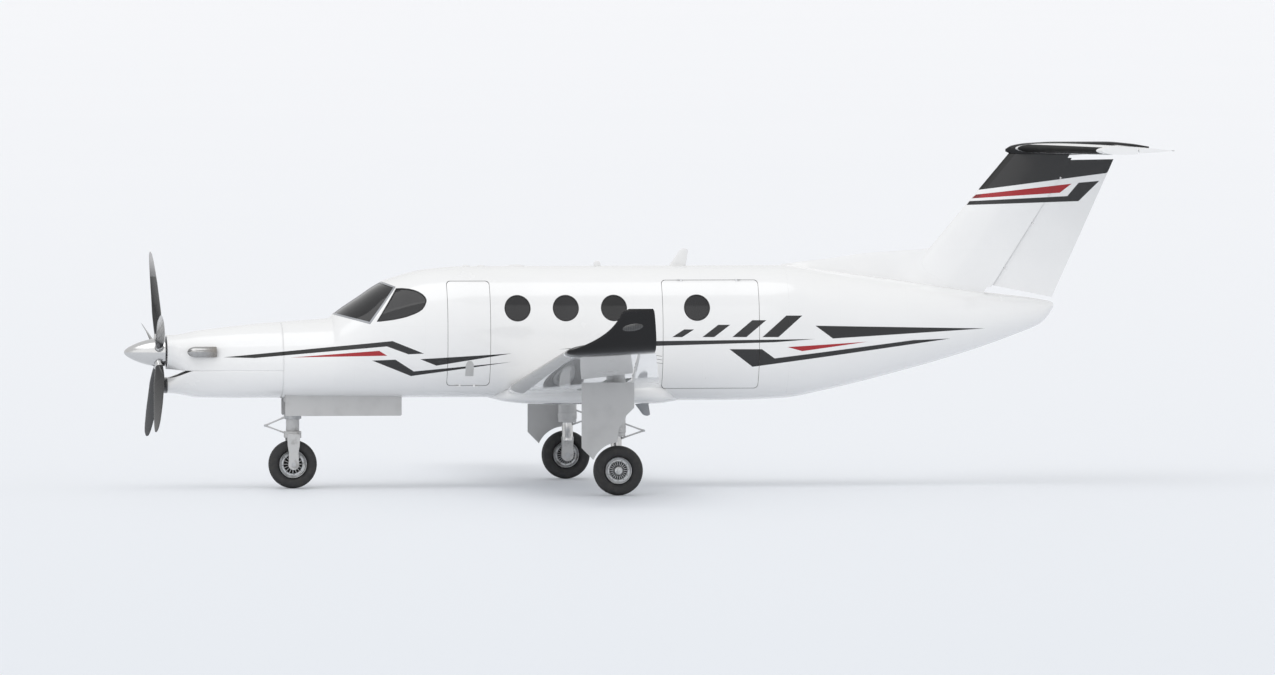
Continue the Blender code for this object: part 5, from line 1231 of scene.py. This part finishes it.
tyre_rubber.put(Base_Color=tyre_rubber.mix(dust * 0.6, (0.020, 0.020, 0.021), (0.060, 0.057, 0.052)), Roughness=dust * 0.2 + 0.65)
tyre_rubber.bump(tyre_rubber.noise(180.0, 3.0), 0.30, 0.0008)


def softened(item, width=0.004, segments=3):
    """Rounds the item's sharp edges with a bevel of the width."""
    step = item.modifiers.new("rounding", "BEVEL")
    step.width, step.segments, step.limit_method = width, segments, "ANGLE"
    return item


def side_plate(name, outline, near, far, paint, body, width=0.004):
    """A side-view outline as a plate between two Y, its edges rounded."""
    item = softened(prism(name, outline, near, far), width)
    item.data.materials.append(paint)
    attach(item, body)
    return item


def link_arm(name, start, end, y, wide, narrow, thick, paint, body):
    """A forged arm from one (station, height) to another that tapers across, on rounded ends."""
    start, end = np.array((start[0] + NOSE, start[1])), np.array((end[0] + NOSE, end[1]))
    along = (end - start) / np.linalg.norm(end - start)
    over = np.array([-along[1], along[0]])
    t = np.linspace(0, 1, 12)[:, None]
    a = np.linspace(0, 2 * math.pi, 32, endpoint=False)
    s, c = np.sign(np.sin(a)) * np.abs(np.sin(a)) ** 0.4, np.sign(np.cos(a)) * np.abs(np.cos(a)) ** 0.4
    place = start + (end - start) * t
    half = (wide + (narrow - wide) * t) / 2
    depth = thick / 2 * (1 - 0.25 * np.sin(math.pi * t))
    points = np.stack([place[:, :1] + over[0] * depth * c, y + half * s, place[:, 1:] + over[1] * depth * c], axis=-1)
    item = piece_of(grid_mesh(name, points), name, paint, 50)
    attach(item, body)
    return item


def wheel(word, body, nodes, centre, radius, rim, width, boss, reach, fins):
    """A grooved balloon tyre, whose section is a superellipse, on a machined wheel with cooling fins."""
    a = np.linspace(0, 2 * math.pi, 220, endpoint=False)
    up = np.sign(np.sin(a)) * np.abs(np.sin(a)) ** (2 / 2.7)
    across = np.sign(np.cos(a)) * np.abs(np.cos(a)) ** (2 / 2.7) * 0.485 * width
    tread = (radius + rim) / 2 + up * (radius - rim) / 2
    groove = sum(np.clip(1 - (np.abs(np.abs(across) - at) / 0.0045) ** 4, 0, 1) for at in (0.014, 0.046))
    tread = np.where(up > 0.8, tread - 0.007 * groove, np.maximum(tread, rim + 0.0006))
    tyre = turned(f"{word}_tyre_body", np.stack([tread, across], axis=-1), centre, (0, 1, 0), tyre_rubber.material, 96, 30, True)
    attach(tyre, body)
    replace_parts(tyre, nodes[1])
    h = 0.66 * width / 2
    side = [
        (boss * 0.50, reach), (boss * 0.50, h + 0.010), (boss * 0.85, h + 0.006), (boss, h - 0.004),
        (boss * 1.04, 0.030), (rim * 0.50, 0.024), (rim * 0.66, 0.036), (rim * 0.70, 0.046), (rim * 0.80, 0.046),
        (rim * 0.84, 0.030), (rim * 0.90, 0.034), (rim * 0.915, h - 0.012), (rim * 0.94, h - 0.003),
        (rim * 0.97, h - 0.002), (rim - 0.0006, h - 0.008),
    ]
    mirrored = [(r, -k) for r, k in side[::-1]]
    disc_of = turned(f"{word}_wheel_disc", [(0.0, reach), *side, *mirrored, (0.0, -reach)], centre, (0, 1, 0), machined.material, 96, 30)
    # Painted shade: the recessed ring between the boss and the fins gets the near-black material.
    disc_of.data.materials.append(soot_and_painted_shade.material)
    middles = np.empty(len(disc_of.data.polygons) * 3)
    disc_of.data.polygons.foreach_get("center", middles)
    out = np.hypot(*(middles.reshape(-1, 3) - centre)[:, ::2].T)
    dark = (out > boss * 1.06) & (out < rim * 0.655)
    disc_of.data.polygons.foreach_set("material_index", dark.astype(np.int32))
    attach(disc_of, body)
    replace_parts(disc_of, nodes[0])
    turns = np.linspace(0, 2 * math.pi, fins, endpoint=False)
    for number, (low, high, inner, outer, half) in enumerate((
        (0.024, 0.052, boss * 1.15, rim * 0.66, 0.0035), (0.030, 0.054, rim * 0.71, rim * 0.79, 0.0075),
    )):
        corners = np.array([(r, t, k) for r in (inner, outer) for t in (-half, half) for k in (low, high)])
        faces = np.array([(0, 1, 3, 2), (4, 6, 7, 5), (0, 4, 5, 1), (2, 3, 7, 6), (0, 2, 6, 4), (1, 5, 7, 3)])
        points, quads = [], []
        count = turns if number == 0 else turns[::2] + 0.1
        for mirror in (1, -1):
            x = corners[:, 0] * np.cos(count)[:, None] - corners[:, 1] * np.sin(count)[:, None]
            z = corners[:, 0] * np.sin(count)[:, None] + corners[:, 1] * np.cos(count)[:, None]
            y = mirror * corners[:, 2] + 0 * x
            points.append(np.stack([x, y, z], axis=-1).reshape(-1, 3))
        points = np.concatenate(points) + np.array(centre)
        quads = (faces + 8 * np.arange(len(points) // 8)[:, None, None]).reshape(-1, 4)
        mesh = bpy.data.meshes.new("fins")
        mesh.from_pydata(points, [], quads.tolist())
        item = piece_of(mesh, f"{word}_wheel_{('fins', 'bolts')[number]}", (machined, cast)[number].material)
        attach(item, body)


wheel("nose", "nose_roller", ("nose_wheel", "nose_tyre"), (2.426 + NOSE, 0, 0.348), 0.348, 0.200, 0.230, 0.060, 0.1420, 16)
for side, word in ((-1, "left"), (1, "right")):
    centre = (6.745 + NOSE, side * 3.110, 0.3525)
    nodes = (f"main_wheel_{word}", f"main_tyre_{word}")
    wheel(f"main_{word}", f"main_roller_{word}", nodes, centre, 0.3525, 0.190, 0.230, 0.062, 0.1640, 22)

x = 2.426 + NOSE
leg_line = (
    (0.0, 0.824), (0.092, 0.824), (0.0960, 0.830), (0.0960, 0.985), (0.1045, 0.990), (0.1045, 1.062), (0.098, 1.070),
    (0.098, 1.105), (0.105, 1.112), (0.105, 1.150), (0.100, 1.158), (0.100, 1.236), (0.127, 1.246), (0.128, 1.252),
    (0.128, 1.395), (0.120, 1.402), (0.120, 1.440), (0.128, 1.447), (0.128, 1.5445), (0.0, 1.5445),
)
leg = turned("nose_leg_casing", leg_line, (x, 0, 0), (0, 0, 1), gear_paint.material, 72)
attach(leg, "airframe")
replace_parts(leg, "nose_leg")
crown_line = (
    (0.0, 0.724), (0.118, 0.724), (0.126, 0.732), (0.126, 0.812), (0.120, 0.8222), (0.109, 0.8222), (0.0, 0.8222),
)
crown = turned("nose_fork_crown", crown_line, (x, 0, 0), (0, 0, 1), gear_paint.material, 72)
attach(crown, "nose_strut")
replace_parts(crown, "nose_fork")
collar_line = ((0.1066, 1.000), (0.122, 1.000), (0.126, 1.004), (0.126, 1.056), (0.122, 1.060), (0.1066, 1.060))
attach(turned("nose_collar", collar_line, (x, 0, 0), (0, 0, 1), lug_metal.material, 72, loop=True), "nose_strut")
bar = softened(crate("nose_crown_bar", (x - 0.088, -0.1765, 0.727), (x + 0.088, 0.1765, 0.789)), 0.010, 4)
bar.data.materials.append(gear_paint.material)
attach(bar, "nose_strut")
a = np.linspace(-0.2, -math.pi + 0.2, 20)
arm = np.array([(-0.092, 0.772), (0.092, 0.772), (0.087, 0.620), (0.070, 0.520), (0.072, 0.400)])
arm = np.vstack([arm, np.stack([0.080 * np.cos(a), 0.348 + 0.080 * np.sin(a)], axis=-1), [(-0.072, 0.400), (-0.070, 0.520), (-0.087, 0.620)]])
for side, word in ((-1, "left"), (1, "right")):
    near, far = sorted((side * 0.1432, side * 0.1768))
    side_plate(f"nose_fork_arm_{word}", arm + (2.426, 0.0), near, far, gear_paint.material, "nose_strut", 0.006)
    barrel(f"nose_axle_nut_{word}", (x, side * 0.165, 0.348), (x, side * 0.1778, 0.348), 0.036, lug_metal.material, "nose_strut", 6)
    near, far = sorted((side * 0.2994, side * 0.2814))
    door = ((2.292, 1.400), (2.292, 1.060), (2.306, 1.046), (3.954, 1.046), (3.968, 1.060), (3.968, 1.400))
    item = side_plate(f"nose_door_panel_{word}", door, near, far, door_grey.material, "airframe", 0.004)
    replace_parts(item, f"nose_gear_door_{word}")
    for k, station in enumerate((2.62, 3.13, 3.64)):
        near, far = sorted((side * 0.2818, side * 0.268))
        side_plate(f"nose_door_rib_{word}_{k}", ((station, 1.385), (station, 1.075), (station + 0.03, 1.075), (station + 0.03, 1.385)), near, far, door_grey.material, "airframe")
nose_link = ((2.330, 1.030), (2.030, 0.902), (2.330, 0.790))
for k, (one, two) in enumerate(zip(nose_link, nose_link[1:])):
    wide = (0.100, 0.052) if k == 0 else (0.052, 0.100)
    link_arm(f"nose_torque_arm_{k}", one, two, 0.0, *wide, 0.028, gear_paint.material, "nose_strut")
barrel("nose_link_pin", (2.030 + NOSE, -0.036, 0.902), (2.030 + NOSE, 0.036, 0.902), 0.017, lug_metal.material, "nose_strut")
for side, word in ((-1, "left"), (1, "right")):
    item = barrel(f"steering_jack_{word}", (x + 0.125, side * 0.045, 1.130), (x + 0.135, side * 0.225, 1.150), 0.026, gear_paint.material, "airframe")

x = 6.745 + NOSE
main_line = (
    (0.0, 0.831), (0.118, 0.831), (0.132, 0.840), (0.132, 0.880), (0.140, 0.888), (0.140, 0.968), (0.134, 0.976),
    (0.134, 1.080), (0.140, 1.088), (0.140, 1.118), (0.134, 1.126), (0.134, 1.330), (0.140, 1.338), (0.140, 1.400),
    (0.134, 1.408), (0.134, 1.6848), (0.0, 1.6848),
)
piston_line = ((0.0, 0.560), (0.079, 0.560), (0.085, 0.568), (0.085, 0.640), (0.080, 0.650), (0.080, 0.832), (0.0, 0.832))
door_line = [(6.205, 1.605), (6.955, 1.605), (6.955, 1.248), (6.843, 1.138), (6.733, 0.939)]
a = np.linspace(1.64, 2.74, 24)
door_line = np.vstack([door_line, np.stack([6.745 + 0.405 * np.cos(a), 0.3525 + 0.405 * np.sin(a)], axis=-1), [(6.205, 0.680)]])
a = np.linspace(-0.2, -math.pi + 0.2, 20)
foot = np.array([(-0.088, 0.622), (0.088, 0.622), (0.080, 0.480), (0.086, 0.390)])
foot = np.vstack([foot, np.stack([0.088 * np.cos(a), 0.3525 + 0.088 * np.sin(a)], axis=-1), [(-0.086, 0.390), (-0.080, 0.480)]])
brake_line = ((0.085, 0.0), (0.150, 0.0), (0.156, 0.006), (0.156, 0.022), (0.150, 0.028), (0.085, 0.028))
for side, word in ((-1, "left"), (1, "right")):
    y = side * 2.895
    leg = turned(f"main_leg_casing_{word}", main_line, (x, y, 0), (0, 0, 1), gear_paint.material, 72)
    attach(leg, "airframe")
    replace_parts(leg, f"main_leg_{word}")
    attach(turned(f"main_piston_{word}", piston_line, (x, y, 0), (0, 0, 1), polished.material, 64), "airframe")
    near, far = sorted((y - 0.0498, y + 0.0498))
    side_plate(f"main_axle_foot_{word}", foot + (6.745, 0.0), near, far, gear_paint.material, "airframe", 0.008)
    barrel(f"main_axle_nut_{word}", (x, y - side * 0.0495, 0.3525), (x, y - side * 0.064, 0.3525), 0.040, lug_metal.material, "airframe", 6)
    links = ((6.860, 1.010), (7.139, 0.908), (6.820, 0.800))
    for k, (one, two) in enumerate(zip(links, links[1:])):
        wide = (0.090, 0.048) if k == 0 else (0.048, 0.090)
        link_arm(f"main_torque_arm_{word}_{k}", one, two, y, *wide, 0.028, gear_paint.material, "airframe")
    barrel(f"main_link_pin_{word}", (7.139 + NOSE, y - 0.034, 0.908), (7.139 + NOSE, y + 0.034, 0.908), 0.017, lug_metal.material, "airframe")
    near, far = sorted((side * 3.270, side * 3.292))
    item = side_plate(f"main_door_panel_{word}", door_line, near, far, door_grey.material, "airframe", 0.004)
    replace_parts(item, f"main_gear_door_{word}")
    near, far = sorted((side * 3.000, side * 3.2704))
    for k, height in enumerate((0.900, 1.340)):
        rod_of = softened(crate(f"main_door_bracket_{word}_{k}", (x - 0.10, near, height), (x + 0.04, far, height + 0.060)), 0.008)
        rod_of.data.materials.append(gear_paint.material)
        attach(rod_of, "airframe")


# Cabin furniture.
# Leather seats on alloy frames, two in front and three rows of two behind, a carpeted floor, and a
# black instrument panel with dark displays and two control yokes.
leather = Paint("seat_leather", roughness=0.48, coat=0.1, coat_roughness=0.3)
grain = leather.node("ShaderNodeTexVoronoi", {}, leather.place, Scale=220.0)
wear = leather.soft(leather.noise(7.0, 5.0), 0.45, 0.75)
leather.put(Base_Color=leather.mix(wear * 0.5, (0.36, 0.27, 0.19), (0.26, 0.19, 0.13)), Roughness=wear * 0.2 + 0.38)
leather.bump(grain, 0.30, 0.0008)
carpet = Paint("cabin_carpet", roughness=0.95)
carpet.put(Base_Color=carpet.grime((0.16, 0.155, 0.15), (0.10, 0.095, 0.09), 5.0))
carpet.bump(carpet.noise(300.0, 2.0), 0.8, 0.002)
panel_black = Paint("instrument_panel_black", roughness=0.55)
panel_black.put(Base_Color=panel_black.grime((0.025, 0.025, 0.027), (0.05, 0.05, 0.05), 6.0))
panel_black.bump(panel_black.noise(140.0, 2.0), 0.3, 0.0005)
display = Paint("display_glass", roughness=0.08, coat=1.0)
horizon = display.soft(display.z, 2.150, 2.152)
display.put(Base_Color=display.mix(horizon, (0.035, 0.022, 0.012), (0.012, 0.030, 0.060)))
display.bump(display.noise(3.0), 0.02, 0.0002)
for node, paint in (("cabin_floor", carpet), ("instrument_panel", panel_black)):
    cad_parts[node].data.materials.clear()
    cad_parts[node].data.materials.append(paint.material)


def cushion(name, centre, size, lean, crown, seams=0):
    """A crowned pad: a superellipsoid, its waist pulled in along the piping and its face sewn in channels."""
    u, v = np.meshgrid(np.linspace(0, 2 * math.pi, 72, endpoint=False), np.linspace(0, math.pi, 37))

    def power(value, share):
        return np.sign(value) * np.abs(value) ** share

    x = power(np.sin(v), 0.35) * power(np.cos(u), 0.35)
    y = power(np.sin(v), 0.35) * power(np.sin(u), 0.35)
    z = power(np.cos(v), crown)
    pinch = 1 - 0.045 * np.exp(-((z / 0.12) ** 2)) - 0.02 * (np.abs(x) * np.abs(y)) ** 3
    z = z * (1 - 0.10 * (x**2 + y**2))
    if seams:
        z = z - 0.07 * np.sign(z) * np.exp(-((((y * seams + 0.5) % 1.0) - 0.5) / 0.07) ** 2) * (np.abs(x) < 0.86)
    points = np.stack([x * pinch * size[0] / 2, y * pinch * size[1] / 2, z * size[2] / 2], axis=-1)
    tilt = np.array(Matrix.Rotation(lean, 3, "Y"))
    item = piece_of(grid_mesh(name, points @ tilt.T + np.array(centre), ends=False), name, leather.material, 80)
    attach(item, "airframe")
    return item


def seat(name, station, y, node):
    """One seat: a cushion, a leaning back, a headrest and its frame, as long as its solid."""
    x, z = station + NOSE, 1.6204
    pad = cushion(f"{name}_cushion", (x + 0.165, y, z + 0.285), (0.455, 0.425, 0.130), math.radians(2.5), 0.55, 2)
    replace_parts(pad, node)
    cushion(f"{name}_back", (x + 0.448, y, z + 0.560), (0.440, 0.425, 0.115), math.radians(-98.5), 0.55, 2)
    cushion(f"{name}_headrest", (x + 0.512, y, z + 0.835), (0.125, 0.290, 0.095), math.radians(-98.5), 0.60)
    for k, (low, high) in enumerate((
        ((x + 0.010, y - 0.185, z), (x + 0.410, y - 0.160, z + 0.205)),
        ((x + 0.010, y + 0.160, z), (x + 0.410, y + 0.185, z + 0.205)),
        ((x + 0.015, y - 0.205, z + 0.195), (x + 0.425, y + 0.205, z + 0.222)),
    )):
        base = softened(crate(f"{name}_frame_{k}", low, high), 0.005)
        base.data.materials.append(lug_metal.material)
        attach(base, "airframe")


for side, word in ((-1, "left"), (1, "right")):
    seat(f"crew_seat_{word}_soft", 3.86, side * 0.330, f"crew_seat_{word}")
    for row, station in enumerate((5.45, 6.25, 7.05), 1):
        seat(f"row_{row}_seat_{word}", station, side * 0.330, "passenger_seats")
    column = barrel(f"yoke_column_{word}", (3.379 + NOSE, side * 0.330, 2.060), (3.500 + NOSE, side * 0.330, 2.070), 0.013, panel_black.material, "airframe")
    a = np.linspace(math.radians(200), math.radians(340), 40)[:, None]
    b = np.linspace(0, 2 * math.pi, 16, endpoint=False)
    radius = 0.125 + 0.012 * np.cos(b)
    yoke = np.stack([3.505 + NOSE + 0.012 * np.sin(b) + 0 * a, side * 0.330 + radius * np.cos(a), 2.130 + 0.8 * radius * np.sin(a) + 0 * b], axis=-1)
    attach(piece_of(grid_mesh(f"yoke_{word}", yoke), f"yoke_{word}", panel_black.material), "airframe")
for k, middle in enumerate((-0.330, 0.0, 0.330)):
    frame_of = softened(crate(f"display_frame_{k}", (3.379 + NOSE, middle - 0.145, 2.085), (3.392 + NOSE, middle + 0.145, 2.275)), 0.004)
    frame_of.data.materials.append(panel_black.material)
    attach(frame_of, "airframe")
    glass_of = softened(crate(f"display_glass_{k}", (3.390 + NOSE, middle - 0.132, 2.098), (3.394 + NOSE, middle + 0.132, 2.262)), 0.001)
    glass_of.data.materials.append(display.material)
    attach(glass_of, "airframe")


# Antennas.
# Moulded white blades on the spine and under the belly, and four low pads on the cabin's roof.
def blade(name, node, levels, paint):
    """A swept blade between (height, lead, trail, half) levels, its section a pointed lens."""
    levels = np.array(levels)
    t = np.linspace(0, 1, 24)[:, None]
    height, lead, trail, half = (np.interp(t, (0, 1), levels[:, k]) for k in range(4))
    a = np.linspace(0, 2 * math.pi, 40, endpoint=False)
    tip = np.sqrt(np.clip(1 - (t - 0.82).clip(0) ** 2 / 0.035, 0.05, 1))
    x = (lead + trail) / 2 + (trail - lead) / 2 * np.cos(a) * tip
    y = half * tip * np.sign(np.sin(a)) * np.abs(np.sin(a)) ** 1.3
    item = piece_of(grid_mesh(name, np.stack([x + NOSE, y, height + 0 * a], axis=-1)), name, paint, 60)
    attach(item, "airframe")
    if node:
        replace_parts(item, node)


antenna_white = Paint("antenna_moulding", roughness=0.40)
antenna_white.put(Base_Color=antenna_white.grime((0.80, 0.80, 0.80), (0.70, 0.70, 0.70), 8.0))
antenna_white.bump(antenna_white.noise(70.0), 0.12, 0.0005)
blade("spine_antenna", "roof_antenna", ((3.1798, 7.870, 8.110, 0.0140), (3.4300, 8.040, 8.150, 0.0060)), antenna_white.material)
blade("keel_antenna", "belly_antenna", ((1.1975, 7.370, 7.570, 0.0130), (1.0200, 7.500, 7.600, 0.0060)), frame_grey.material)
for k, (station, length, half, height) in enumerate(((4.926, 0.055, 0.035, 0.022), (5.144, 0.055, 0.035, 0.022), (5.651, 0.120, 0.060, 0.026), (6.826, 0.050, 0.014, 0.080))):
    u, v = np.meshgrid(np.linspace(0, 2 * math.pi, 40, endpoint=False), np.linspace(0, math.pi, 21))
    bump_of = np.stack([
        station + NOSE + length * np.sin(v) ** 0.8 * np.cos(u), half * np.sin(v) ** 0.8 * np.sin(u),
        3.1770 + height * np.sign(np.cos(v)) * np.abs(np.cos(v)) ** 0.7 * np.where(v < math.pi / 2, 1.0, 0.2),
    ], axis=-1)
    pad = piece_of(grid_mesh(f"roof_pad_{k}", bump_of, ends=False), f"roof_pad_{k}", antenna_white.material, 60)
    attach(pad, "airframe")
